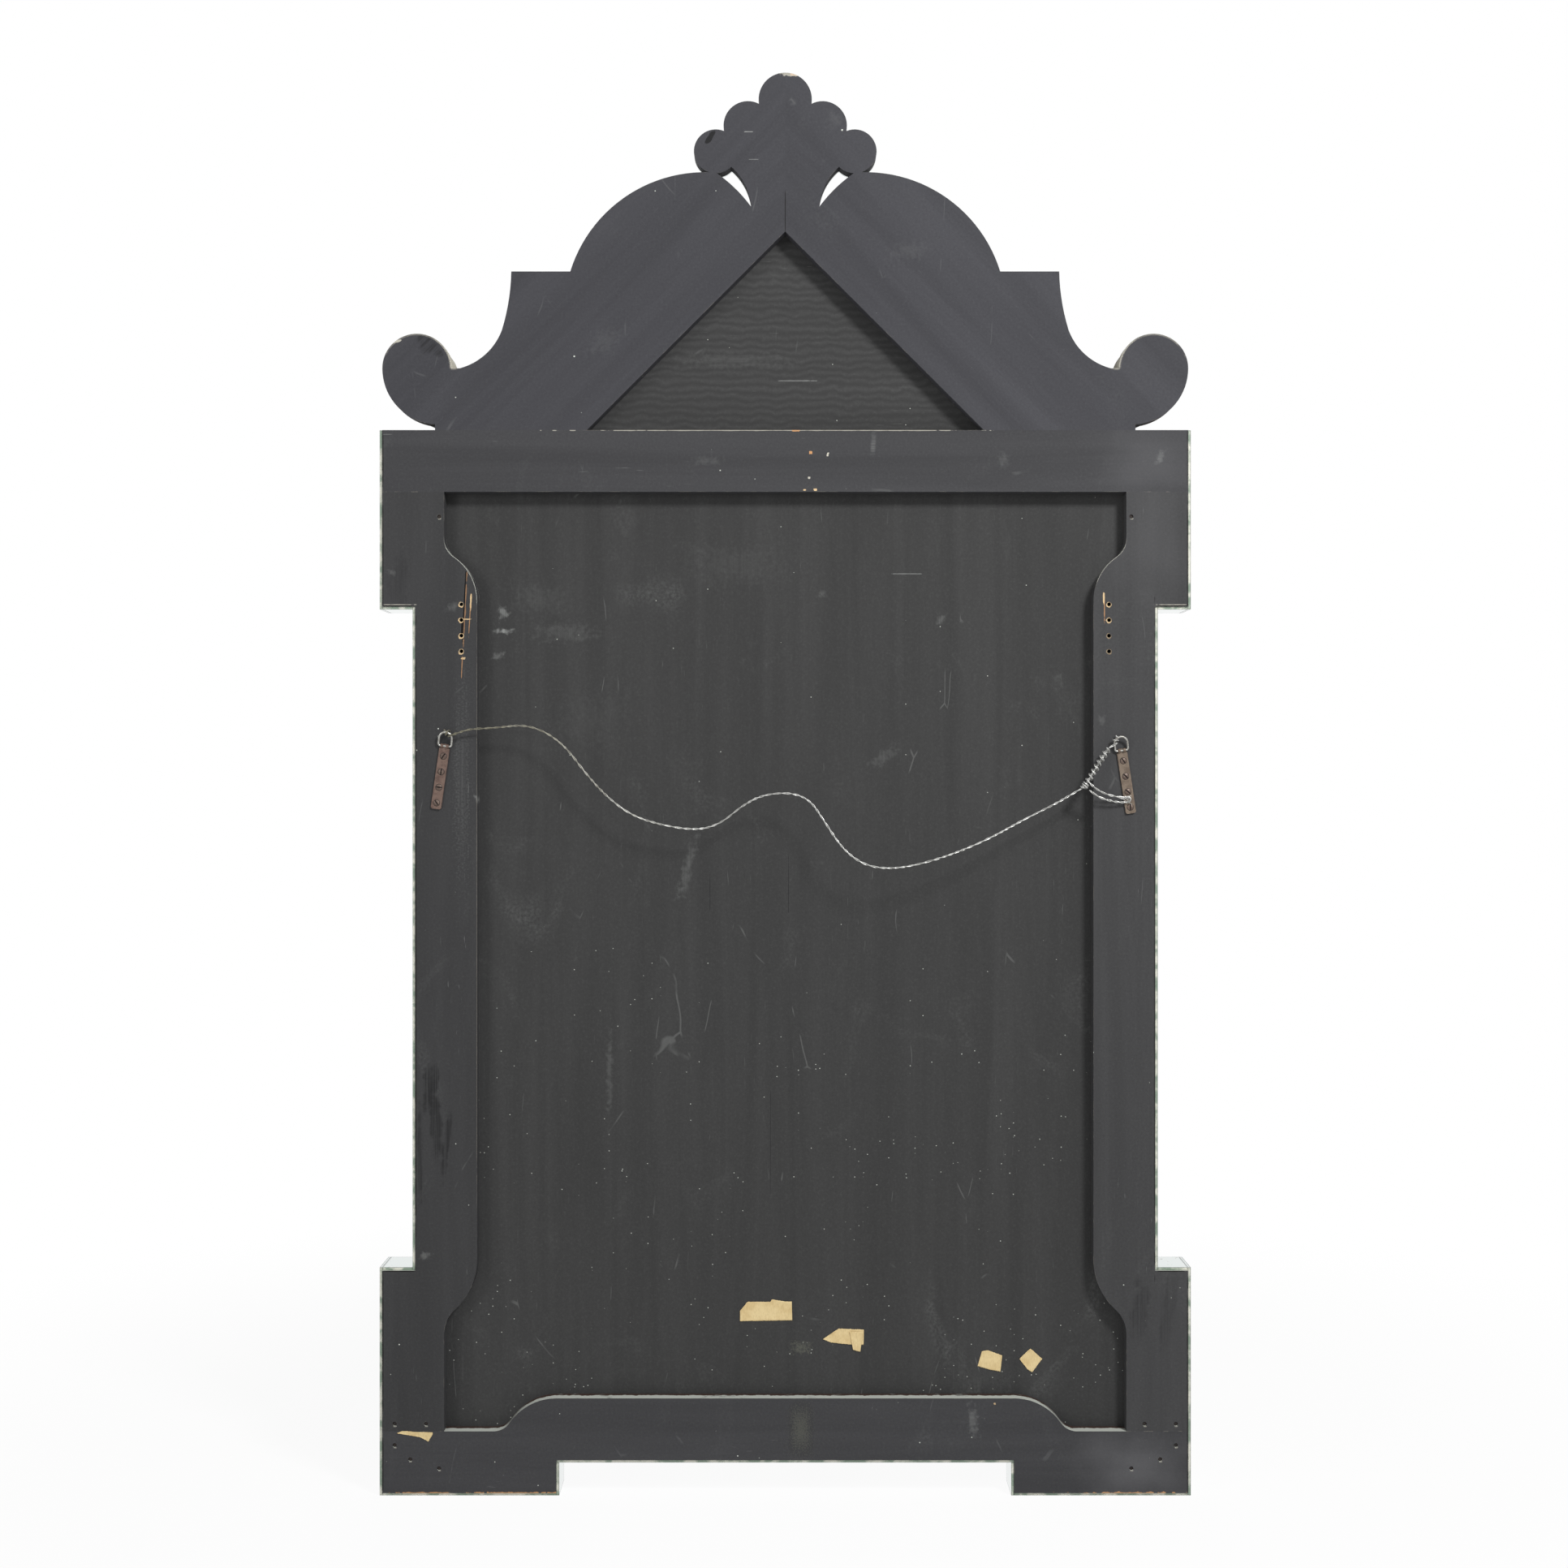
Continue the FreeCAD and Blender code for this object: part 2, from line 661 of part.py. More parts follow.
def rosette_places(side):
    """The rosettes on one side: the two ears and the volute's eye."""
    ear = f"{side} * ({WAIST_IN} + {HALF}) / 2"
    return {
        "upper": (ear, f"({UPPER_EAR} + {TOP}) / 2"),
        "lower": (ear, f"({RAIL_FOOT} + {LOWER_EAR}) / 2"),
        "volute": (f"{side} * ({HALF} - volute_radius)", crest("volute_up")),
    }


NECK_CUT = apex("tympanum_lap + neck_bridge")
PLATE_END = f"({NECK_CUT} - plate_gap)"
LOBE_EDGE = LOW_LOBE._replace(radius="low_lobe_radius + plate_gap")


def crest_front(side, lap, seam, foot):
    """The outline of what stands before one crest board. It ends under the finial."""
    return mirrored(side, [
        (seam, foot, None),
        *crest_flank(lap, "core_inset")[1:],
        (*meeting(ARCH, LOBE_EDGE, max), arc_of(LOBE_EDGE, -1)),
        (*meeting(ARCH_END, LOBE_EDGE, min), arc_of(ARCH_END, 1)),
        (on_circle(ARCH_END, PLATE_END, -1), PLATE_END, None),
        (seam, PLATE_END, None),
    ])


def crest_dowel_places(side):
    """The two dowels that stand in the top rail under one side of the crest."""
    inner = f"({WAIST_IN} - crest_dowel_in)"
    depth = f"{FRONT} - carcass_thickness / 2"
    return [(f"{side} * ({inner} - {count} * crest_dowel_spacing)", depth) for count in (0, 1)]


for name, z0, z1 in (("front_top_rail", TOP_JOINT, TOP), ("front_bottom_rail", RAIL_FOOT, RAIL_TOP)):
    rail = slab(name, "board_thickness", "carcass_thickness", [rectangle(f"-{WAIST_IN}", WAIST_IN, z0, z1)])
    reach = f"({WAIST_IN} + tenon_length)"
    tenons = rectangle(f"-{reach}", reach, f"{z0} + tenon_shoulder", f"{z1} - tenon_shoulder")
    thicken(rail, "tenons", TENON_DEPTH, "tenon_thickness", [tenons])
    rebate(rail)
    if name == "front_top_rail":
        holes = rounds_at(crest_dowel_places(-1) + crest_dowel_places(1), "crest_dowel_radius")
        sketch = draw(rail, "crest_dowel_holes", "XY_Plane", TOP, rounds=holes)
        pocket(rail, sketch, "crest_dowel_length / 2 + hole_end_room")

front_stile_loop = [
    (WAIST_IN, FEET, None),
    (HALF, FEET, None),
    (HALF, LOWER_EAR, None),
    (WAIST, LOWER_EAR, None),
    (WAIST, UPPER_EAR, None),
    (HALF, UPPER_EAR, None),
    (HALF, TOP, None),
    (WAIST_IN, TOP, None),
]
for name, side in SIDES.items():
    stile_outline = mirrored(side, front_stile_loop)
    stile = slab(f"{name}_front_stile", "board_thickness", "carcass_thickness", [stile_outline])
    rebate(stile)
    mortises = [
        rectangle(
            WAIST_IN,
            f"{WAIST_IN} + tenon_length + hole_end_room",
            f"{z0} + tenon_shoulder - tenon_clearance",
            f"{z1} - tenon_shoulder + tenon_clearance",
        )
        for z0, z1 in ((TOP_JOINT, TOP), (RAIL_FOOT, RAIL_TOP))
    ]
    carve(
        stile,
        "mortises",
        f"{TENON_DEPTH} - tenon_clearance",
        "tenon_thickness + 2 * tenon_clearance",
        [mirrored(side, loop) for loop in mortises],
    )
    carve(
        stile,
        "nail_holes",
        "board_thickness",
        "nail_sink + nail_length + hole_end_room - board_thickness",
        rounds=rounds_at(side_nails(side), NAIL_HOLE),
    )
    places = rosette_places(side)
    drill_rosettes(stile, [places["upper"], places["lower"]])
    block_loop = mirrored(side, rectangle(FOOT_IN, WAIST_IN, FEET, RAIL_FOOT))
    slab(f"{name}_foot_block", "board_thickness", "carcass_thickness", [block_loop])
    core_loop = crest_front(side, "0", "0", apex("0"))
    core = slab(f"{name}_crest_core", "board_thickness", "carcass_thickness", [core_loop])
    carve(core, "panel_seat", "board_thickness", "panel_thickness", [triangle("tympanum_lap")])
    drill_rosettes(core, [places["volute"]])
    holes = rounds_at(crest_dowel_places(side), "crest_dowel_radius")
    sketch = draw(core, f"{name}_core_dowel_holes", "XY_Plane", TOP, rounds=holes)
    pocket(core, sketch, "crest_dowel_length / 2 + hole_end_room", backwards=True)

# Wooden dowels and the nails

frame_dowels = new_body("frame_dowels")
for count, joint in enumerate((TOP_JOINT, BOTTOM_JOINT)):
    rounds = [
        (x, "board_thickness / 2", "dowel_radius - dowel_fit") for side in (-1, 1) for x in dowel_places(side)
    ]
    sketch = draw(frame_dowels, f"frame_dowels_{count}", "XY_Plane", joint, rounds=rounds)
    pad(frame_dowels, sketch, "dowel_length", symmetric=True)

crest_dowels = new_body("crest_dowels")
rounds = rounds_at(crest_dowel_places(-1) + crest_dowel_places(1), "crest_dowel_radius - dowel_fit")
sketch = draw(crest_dowels, "crest_dowel_rounds", "XY_Plane", TOP, rounds=rounds)
pad(crest_dowels, sketch, "crest_dowel_length", symmetric=True)

seam_dowels = new_body("crest_seam_dowels")
rounds = rounds_at(seam_dowel_places(), "dowel_radius - dowel_fit")
sketch = draw(seam_dowels, "seam_dowel_rounds", "YZ_Plane", "0", rounds=rounds)
pad(seam_dowels, sketch, "seam_dowel_length", symmetric=True)

nail_spots = side_nails(-1) + side_nails(1)
nails = slab("corner_nails", "nail_sink", "nail_length", rounds=rounds_at(nail_spots, "nail_radius"))
heads = rounds_at(nail_spots, "nail_head_radius")
thicken(nails, "heads", "nail_sink", "nail_head_thickness", rounds=heads)

# Glass: a plain mirror plate in the carcass's front rebate, held by bevelled border plates over its edges


def inset(loop_sides, margin):
    """A rectangle's four sides, drawn in by a margin."""
    x0, x1, z0, z1 = loop_sides
    return f"{x0} + {margin}", f"{x1} - {margin}", f"{z0} + {margin}", f"{z1} - {margin}"


def bevel(body, outer, inner):
    """The sloping border of a plate's front: from its full outline in to the flat."""
    shoulder = draw(body, f"{body.Label}_arris", "XZ_Plane", f"-({GLASS_FRONT} - bevel_depth)", [outer])
    flat = draw(body, f"{body.Label}_flat", "XZ_Plane", f"-({GLASS_FRONT})", [inner])
    slope = body.newObject("PartDesign::AdditiveLoft", f"{body.Label}_bevel")
    slope.Profile = shoulder
    slope.Sections = [flat]
    slope.Ruled = True


def bevelled_plate(label, side, sides, rosettes=()):
    """A rectangular border plate with a bevel all round, drilled where a rosette holds it."""
    outer = mirrored(side, rectangle(*inset(sides, "plate_gap / 2")))
    flat = mirrored(side, rectangle(*inset(sides, "(plate_gap / 2 + bevel_width)")))
    body = slab(label, FRONT, "plate_thickness - bevel_depth", [outer])
    bevel(body, outer, flat)
    if rosettes:
        drill_plate(body, rosettes)


def drill_plate(body, places, face=FRONT):
    """Holes through a plate on a face, for rosette screws."""
    carve(body, "rosette_holes", face, "plate_thickness", rounds=rounds_at(places, ROSETTE_HOLE))


mirror_loop = rectangle(f"-{MIRROR_OUT}", MIRROR_OUT, MIRROR_FOOT, MIRROR_TOP)
slab("mirror_plate", f"{FRONT} - mirror_thickness", "mirror_thickness", [mirror_loop])
bevelled_plate("top_border_plate", 1, (f"-{WAIST_IN}", WAIST_IN, TOP_JOINT, TOP))
bevelled_plate("bottom_border_plate", 1, (f"-{WAIST_IN}", WAIST_IN, RAIL_FOOT, RAIL_TOP))
for name, side in SIDES.items():
    places = rosette_places(side)
    bevelled_plate(f"{name}_border_plate", side, (WAIST_IN, WAIST, LOWER_EAR, UPPER_EAR))
    bevelled_plate(f"{name}_upper_ear_plate", side, (WAIST_IN, HALF, UPPER_EAR, TOP), [places["upper"]])
    bevelled_plate(f"{name}_lower_ear_plate", side, (WAIST_IN, HALF, RAIL_FOOT, LOWER_EAR), [places["lower"]])
    bevelled_plate(f"{name}_foot_plate", side, (FOOT_IN, HALF, FEET, RAIL_FOOT))

tympanum_edge = "(tympanum_lap - plate_gap)"
edge_half = f"(triangle_half_base + {tympanum_edge})"
edge_rise = f"(triangle_height + {tympanum_edge})"
edge_slope = f"sqrt({edge_half} ^ 2 + {edge_rise} ^ 2)"
flat_half = f"({edge_half} - bevel_width * ({edge_slope} + {edge_half}) / {edge_rise})"
flat_rise = f"({edge_rise} - bevel_width * {edge_slope} / {edge_half})"
tympanum_flat = [
    (f"-{flat_half}", f"{TOP} + bevel_width", None),
    (flat_half, f"{TOP} + bevel_width", None),
    ("0", crest(flat_rise), None),
]
tympanum_plate = slab("tympanum_plate", FRONT, "plate_thickness - bevel_depth", [triangle(tympanum_edge)])
bevel(tympanum_plate, triangle(tympanum_edge), tympanum_flat)

for name, side in SIDES.items():
    plate_loop = crest_front(side, "tympanum_lap", "plate_gap / 2", apex("tympanum_lap - plate_gap / 2"))
    plate = slab(f"{name}_crest_plate", FRONT, "plate_thickness", [plate_loop])
    drill_plate(plate, [rosette_places(side)["volute"]])

finial_right = [
    (on_circle(NECK, NECK_CUT, -1), NECK_CUT, arc_of(NECK, -1)),
    (*meeting(LOW_LOBE, NECK, min), arc_of(LOW_LOBE, 1)),
    (*meeting(LOW_LOBE, SIDE_LOBE, max), arc_of(SIDE_LOBE, 1)),
    (*meeting(SIDE_LOBE, TOP_LOBE, max), arc_of(TOP_LOBE, 1)),
]
finial_loop = finial_right + returning(finial_right)
finial_plate = slab("finial_plate", "board_thickness", "plate_thickness", [finial_loop])
drill_plate(finial_plate, [FINIAL_ROSETTE], "board_thickness")

# Mirror strips that cover the frame's edges all round, from just off the wall to the plates' fronts


def strip(label, side, sides):
    """A straight glass strip with its length upright or level."""
    loop = mirrored(side, rectangle(*sides))
    return slab(label, "strip_setback", f"{GLASS_FRONT} - strip_setback", [loop])


for name, side in SIDES.items():
    ear_sides = (HALF, f"{HALF} + strip_thickness")
    lower_ends = (f"{FEET} - strip_thickness", f"{LOWER_EAR} + strip_thickness")
    strip(f"{name}_upper_ear_strip", side, (*ear_sides, f"{UPPER_EAR} - strip_thickness", TOP))
    strip(f"{name}_lower_ear_strip", side, (*ear_sides, *lower_ends))
    strip(f"{name}_stile_strip", side, (WAIST, f"{WAIST} + strip_thickness", LOWER_EAR, UPPER_EAR))
    strip(f"{name}_foot_strip", side, (FOOT_IN, HALF, f"{FEET} - strip_thickness", FEET))
strip("bottom_rail_strip", 1, (f"-{FOOT_IN}", FOOT_IN, f"{RAIL_FOOT} - strip_thickness", RAIL_FOOT))

return_strips = []
for side in (-1, 1):
    step = (f"{WAIST} + strip_thickness", HALF)
    foot = (f"{FOOT_IN} - strip_thickness", FOOT_IN)
    foot_ends = (f"{FEET} - strip_thickness", f"{RAIL_FOOT} - strip_thickness")
    return_strips += [
        mirrored(side, rectangle(*step, f"{UPPER_EAR} - strip_thickness", UPPER_EAR)),
        mirrored(side, rectangle(*step, LOWER_EAR, f"{LOWER_EAR} + strip_thickness")),
        mirrored(side, rectangle(*foot, *foot_ends)),
    ]
slab("return_strips", "strip_setback", f"{GLASS_FRONT} - strip_setback", return_strips)

# Rosettes: moulded glass flowers over the plates' holes, each held by a domed brass screw


def turned(body, name, loop):
    """Turns a loop, drawn along X and Y, into a round solid about the Y axis."""
    sketch = draw(body, name, "XY_Plane", "0", [loop])
    feature = body.newObject("PartDesign::Revolution", f"{name}_turned")
    feature.Profile = sketch
    feature.ReferenceAxis = (sketch, ["V_Axis"])
    feature.Angle = 360
    return feature


flower = doc.addObject("PartDesign::Body", "flower")
turned(
    flower,
    "flower_profile",
    [
        (ROSETTE_HOLE, "0", None),
        ("rosette_radius", "0", None),
        ("rosette_radius", "rosette_rim", Arc(1, "rosette_crown_radius")),
        ("rosette_head_radius", "rosette_height", None),
        (ROSETTE_HOLE, "rosette_height", None),
    ],
)
petal_cut = [("rosette_radius + petal_cut_radius / 2", "0", "petal_cut_radius")]
notch = draw(flower, "petal_notch", "XZ_Plane", "0", rounds=petal_cut)
notch_cut = pocket(flower, notch, "rosette_height")
petals = flower.newObject("PartDesign::PolarPattern", "petals")
petals.Originals = [notch_cut]
petals.Axis = (notch, ["N_Axis"])
petals.Angle = 360
petals.setExpression("Occurrences", bound("petal_count"))
flower.Tip = petals


STUD_TOP = "(rosette_height + rosette_head_height)"
stud_dome = cap_radius("rosette_head_radius", "rosette_head_height")


def stud(name, length):
    """A pointed screw with a domed head, whose rosette stands on height 0."""
    body = doc.addObject("PartDesign::Body", name)
    turned(
        body,
        f"{name}_profile",
        [
            ("0", f"rosette_height - {length}", None),
            ("rosette_screw_radius", f"rosette_height - {length} + rosette_screw_radius", None),
            ("rosette_screw_radius", "rosette_height", None),
            ("rosette_head_radius", "rosette_height", Arc(1, None, ("0", f"{STUD_TOP} - {stud_dome}"))),
            ("0", value(STUD_TOP), None),
        ],
    )
    return body


long_stud = stud("long_stud", "rosette_screw_length")
finial_stud = stud("finial_stud", "finial_screw_length")
doc.recompute()


def copies(label, *batches):
    """Like pieces in one group: each batch is a pattern body, the face that it stands on and its places."""
    group = doc.addObject("Part::Feature", label)
    group.Label = label
    group.Shape = Part.makeCompound(
        [
            pattern.Shape.translated(Vector(value(x), value(face), value(z)))
            for pattern, face, places in batches
            for x, z in places
        ]
    )
    subparts.append(group)


FINIAL_GLASS = "(board_thickness + plate_thickness)"
side_rosettes = [place for side in (-1, 1) for place in rosette_places(side).values()]
finial_spot = [FINIAL_ROSETTE]
copies("rosettes", (flower, GLASS_FRONT, side_rosettes), (flower, FINIAL_GLASS, finial_spot))
copies("rosette_screws", (long_stud, GLASS_FRONT, side_rosettes), (finial_stud, FINIAL_GLASS, finial_spot))

# Hangers: a strap folded round the straight bar of a D-ring and screwed to each stile, leaning inwards


def hanger_place(name, side, lean="0"):
    """A hanger's own frame: its origin on the ring's bar, X along the bar and Z up the strap."""
    tilt = FreeCAD.Rotation(Vector(0, 1, 0), -side * value(f"{name}_hanger_tilt"))
    swing = FreeCAD.Rotation(Vector(1, 0, 0), value(lean))
    out, up = bar_place(name)
    base = Vector(side * value(out), -value(KNUCKLE), value(up))
    return FreeCAD.Placement(base, tilt.multiply(swing))


TINY = 1e-6
STRAP_FACE = f"({KNUCKLE} - 2 * strap_leaf)"
HEAD_TOP = f"({STRAP_FACE} - screw_head_height)"
head_dome = cap_radius("screw_head_radius", "screw_head_height")
for name, side in SIDES.items():
    strap = new_body(f"{name}_strap")
    fold_foot = -math.sqrt(value(KNUCKLE) ** 2 - value(STRAP_FACE) ** 2)
    strap_loop = [
        (KNUCKLE, "-strap_length", None),
        (KNUCKLE, "0", Arc(1, None, ("0", "0"))),
        (STRAP_FACE, fold_foot, None),
        (STRAP_FACE, "-strap_length", None),
    ]
    eye = [("0", "0", "ring_wire_radius + ring_fit")]
    sketch = draw(strap, f"{name}_strap_fold", "YZ_Plane", "0", [strap_loop], eye)
    pad(strap, sketch, "strap_width", symmetric=True)
    spots = [("0", f"-(first_screw + {count} * screw_pitch)") for count in range(SIZES["screw_count"])]
    carve(strap, "screw_holes", "0", KNUCKLE, rounds=rounds_at(spots, "screw_radius + screw_fit"))
    window = rectangle("-knuckle_window / 2", "knuckle_window / 2", f"-{KNUCKLE}", KNUCKLE)
    carve(strap, "window", f"-{KNUCKLE}", f"{KNUCKLE} + {STRAP_FACE}", [window])
    notch_loop = rectangle("knuckle_width / 2", "strap_width", f"-{KNUCKLE}", f"2 * {KNUCKLE}")
    notches = [mirrored(end, notch_loop) for end in (-1, 1)]
    carve(strap, "ring_notches", f"-{KNUCKLE}", f"2 * {KNUCKLE}", notches)
    doc.recompute()
    base = strap.Tip
    foot = -value("strap_length")
    corners = [
        f"Edge{index}"
        for index, edge in enumerate(base.Shape.Edges, start=1)
        if all(abs(vertex.Z - foot) < TINY for vertex in edge.Vertexes)
        and 1 - abs(edge.tangentAt(edge.FirstParameter).y) < TINY
    ]
    rounding = strap.newObject("PartDesign::Fillet", f"{name}_strap_corners")
    rounding.Base = (base, corners)
    rounding.setExpression("Radius", bound("strap_corner"))
    strap.Placement = hanger_place(name, side)

    screws = new_body(f"{name}_strap_screws")
    sketch = draw(
        screws,
        f"{name}_screw_profile",
        "YZ_Plane",
        "0",
        [
            [
                (value(HEAD_TOP), "0", None),
                (f"{STRAP_FACE} + screw_length", "0", None),
                (f"{STRAP_FACE} + screw_length - screw_radius", "screw_radius", None),
                (STRAP_FACE, "screw_radius", None),
                (STRAP_FACE, "screw_head_radius", Arc(1, None, (f"{HEAD_TOP} + {head_dome}", "0"))),
            ]
        ],
    )
    sketch.setExpression("AttachmentOffset.Base.y", bound("-first_screw"))
    screw = screws.newObject("PartDesign::Revolution", f"{name}_screw")
    screw.Profile = sketch
    screw.ReferenceAxis = (sketch, ["H_Axis"])
    screw.Angle = 360
    row = screws.newObject("PartDesign::LinearPattern", f"{name}_screw_row")
    row.Originals = [screw]
    row.Direction = (sketch, ["V_Axis"])
    row.Reversed = True
    row.setExpression("Length", bound("(screw_count - 1) * screw_pitch"))
    row.setExpression("Occurrences", bound("screw_count"))
    screws.Tip = row
    screws.Placement = hanger_place(name, side)

    ring = new_body(f"{name}_ring")
    arch_centre = "(ring_height - ring_half_width)"
    path_loop = [
        ("0", "0", None),
        ("ring_half_width - ring_corner", "0", Arc(1, "ring_corner")),
        ("ring_half_width", "ring_corner", None),
        ("ring_half_width", arch_centre, Arc(1, "ring_half_width")),
        ("0", "ring_height", Arc(1, "ring_half_width")),
        ("-ring_half_width", arch_centre, None),
        ("-ring_half_width", "ring_corner", Arc(1, "ring_corner")),
        ("-(ring_half_width - ring_corner)", "0", None),
    ]
    path = draw(ring, f"{name}_ring_path", "XZ_Plane", "0", [path_loop])
    section = draw(ring, f"{name}_ring_section", "YZ_Plane", "0", rounds=[("0", "0", "ring_wire_radius")])
    bend = ring.newObject("PartDesign::AdditivePipe", f"{name}_ring_bend")
    bend.Profile = section
    bend.Spine = path
    ring.Placement = hanger_place(name, side, "ring_lean")

# Hanging wire: one soft wire lashed to both rings, its spare end wound back on itself at the right


def biarc(start, start_line, end, end_line):
    """Two arcs that join two points and keep the line of travel at both."""
    gap = end - start
    lines = start_line + end_line
    bend = 2 * (1 - start_line.dot(end_line))
    reach = gap.dot(lines)
    arm = (math.sqrt(reach**2 + bend * gap.dot(gap)) - reach) / bend
    near, far = start + start_line * arm, end - end_line * arm
    middle = (near + far) / 2
    return [corner_arc(start, near, middle), corner_arc(middle, far, end)]


def corner_arc(start, corner, end):
    """The arc between two points whose tangents meet at a corner."""
    chord_middle = (start + end) / 2
    rise = corner - chord_middle
    half_turn = math.atan2(rise.Length, (end - start).Length / 2)
    share = math.tan(half_turn / 2) / math.tan(half_turn)
    return Part.Arc(start, chord_middle + rise * share, end).toShape()


def swept(label, edges):
    """A round wire along joined edges, with its volume compared with its section times its length."""
    path = Part.Wire(edges)
    first = edges[0]
    radius = value("wire_radius")
    line = first.tangentAt(first.FirstParameter)
    section = Part.Wire([Part.makeCircle(radius, first.valueAt(first.FirstParameter), line)])
    wire = doc.addObject("Part::Feature", label)
    wire.Label = label
    wire.Shape = path.makePipeShell([section], True, False)
    expected = math.pi * radius**2 * path.Length
    share = wire.Shape.Volume / expected
    print(f"{label}: length {path.Length:.1f} mm, volume over section times length {share:.4f}")
    subparts.append(wire)


# The share of the shorter run that an arc between two runs takes
ARC_SHARE = 0.45


def laid_wire(label, route):
    """A wire along a route: straight runs joined by arcs as large as the runs allow."""
    edges = []
    radii = []
    last = route[0]
    for before, point, after in zip(route, route[1:], route[2:]):
        arriving, leaving = point - before, after - point
        half_turn = arriving.getAngle(leaving) / 2
        trim = ARC_SHARE * min(arriving.Length, leaving.Length)
        radii.append(trim / math.tan(half_turn))
        start = point - arriving.normalize() * trim
        end = point + leaving.normalize() * trim
        edges += [Part.LineSegment(last, start).toShape(), corner_arc(start, point, end)]
        last = end
    edges.append(Part.LineSegment(last, route[-1]).toShape())
    print(f"{label}: bend radii", " ".join(f"{radius:.0f}" for radius in radii))
    swept(label, edges)


# Arcs to a turn of wound wire, the step that finds its line of travel, and points that find its gaps
QUARTERS = 4
LINE_STEP = 1e-4
GAP_POINTS = 24


def wound_wire(label, curve, turns):
    """A wire wound along a curve of so many turns, in arcs of a quarter turn each, with straight ends."""
    count = round(turns * QUARTERS)
    marks = [turns * index / count for index in range(count + 1)]
    points = [curve(mark) for mark in marks]
    lines = [(curve(mark + LINE_STEP) - curve(mark - LINE_STEP)).normalize() for mark in marks]
    edges = []
    for index in range(count):
        edges += biarc(points[index], lines[index], points[index + 1], lines[index + 1])
    tail = 2 * value("wire_radius")
    ends = (points[0] - lines[0] * tail, points[-1] + lines[-1] * tail)
    edges = [
        Part.LineSegment(ends[0], points[0]).toShape(),
        *edges,
        Part.LineSegment(points[-1], ends[1]).toShape(),
    ]
    samples = [curve(index / GAP_POINTS) for index in range(round(turns * GAP_POINTS) + 1)]
    half = GAP_POINTS // 2
    spacing = min((a - b).Length for index, a in enumerate(samples) for b in samples[index + half :])
    print(f"{label}: least gap to itself {spacing - tail:.2f} mm")
    swept(label, edges)
    return ends, lines


LASHING_RADIUS = "(ring_wire_radius + lashing_gap + wire_radius)"
LASHING_WAY = {"left": -1, "right": 1}


def lashing(name, side):
    """Turns of wire round the ring's arch: round its section while moving along it."""
    place = hanger_place(name, side, "ring_lean")
    turns = value("lashing_turns")
    start = value(f"{name}_lashing_start")
    step = LASHING_WAY[name] * value("lashing_advance")
    middle = value("ring_half_width")
    reach = value(LASHING_RADIUS)
    centre_up = value("ring_height - ring_half_width")

    def curve(turn):
        along = math.radians(start + step * turn)
        round_wire = 2 * math.pi * (turn - turns) - math.pi / 2
        out = middle + reach * math.cos(round_wire)
        local = Vector(out * math.cos(along), reach * math.sin(round_wire), centre_up + out * math.sin(along))
        return place.multVec(local)

    return wound_wire(f"{name}_ring_lashing", curve, turns)


left_ends, left_lines = lashing("left", -1)
right_ends, right_lines = lashing("right", 1)


def on_route(across, out, up):
    """A point of the wire's route: across the frame, out from the wall and up from the left ring's bar."""
    return Vector(across, -out, value(bar_place("left")[1]) + up)


KNOT = on_route(361, 12.4, -49.5)
SPAN = [
    on_route(-381, 9.8, 20.5),
    on_route(-350, 10, 21.8),
    on_route(-316, 11, 25.8),
    on_route(-288, 11.5, 16.5),
    on_route(-264, 12, -2.5),
    on_route(-242, 13, -32),
    on_route(-217, 13.5, -60),
    on_route(-186, 14, -84),
    on_route(-148, 14, -96),
    on_route(-106, 14, -102),
    on_route(-78, 15, -94),
    on_route(-52, 16, -72),
    on_route(-27, 17, -59),
    on_route(6, 19, -56),
    on_route(30, 22, -65),
    on_route(47, 25, -91),
    on_route(68, 28, -123),
    on_route(92, 30, -142),
    on_route(120, 31, -148),
    on_route(155, 30, -144),
    on_route(199, 27, -131),
    on_route(243, 23, -113),
    on_route(287, 18, -89),
    on_route(326, 14.5, -70),
    on_route(349, 13, -56.5),
]
left_turn = left_ends[1] + left_lines[-1] * value("left_lead")
right_turn = right_ends[1] + right_lines[-1] * value("right_lead")
laid_wire("hanging_wire", [left_ends[1], left_turn, *SPAN, KNOT, right_turn, right_ends[1]])

axis = (KNOT - right_turn).normalize()
front = Vector(0, -1, 0)
front = (front - axis * front.dot(axis)).normalize()
across = axis.cross(front)
WRAP_RADIUS = "(2 * wire_radius + wrap_gap)"


def wrap_curve(turn):
    """The wrap's helix: round the standing wire while moving down it, ending in front of it at the knot."""
    left = value("wrap_turns") - turn
    angle = 2 * math.pi * left
    centre = KNOT - axis * (left * value("wrap_pitch") + value("knot_clear"))
    return centre + (front * math.cos(angle) + across * math.sin(angle)) * value(WRAP_RADIUS)


wrap_ends, wrap_lines = wound_wire("wire_wrap", wrap_curve, value("wrap_turns"))

TAIL = [
    on_route(384, 12, -57),
    on_route(397, 8.5, -61),
    on_route(408, 5.5, -62.2),
    on_route(418.5, 4.1, -62),
    on_route(418.5, 4.1, -68),
    on_route(408, 5.3, -68.4),
    on_route(397, 7.5, -67.4),
    on_route(384, 10.5, -64),
    on_route(374, 12.5, -59),
    on_route(367, 13.5, -53.5),
]
tail_turn = wrap_ends[1] + wrap_lines[-1] * value("tail_lead")
laid_wire("wire_tail", [wrap_ends[1], tail_turn, *TAIL])

# Checks before anything is written

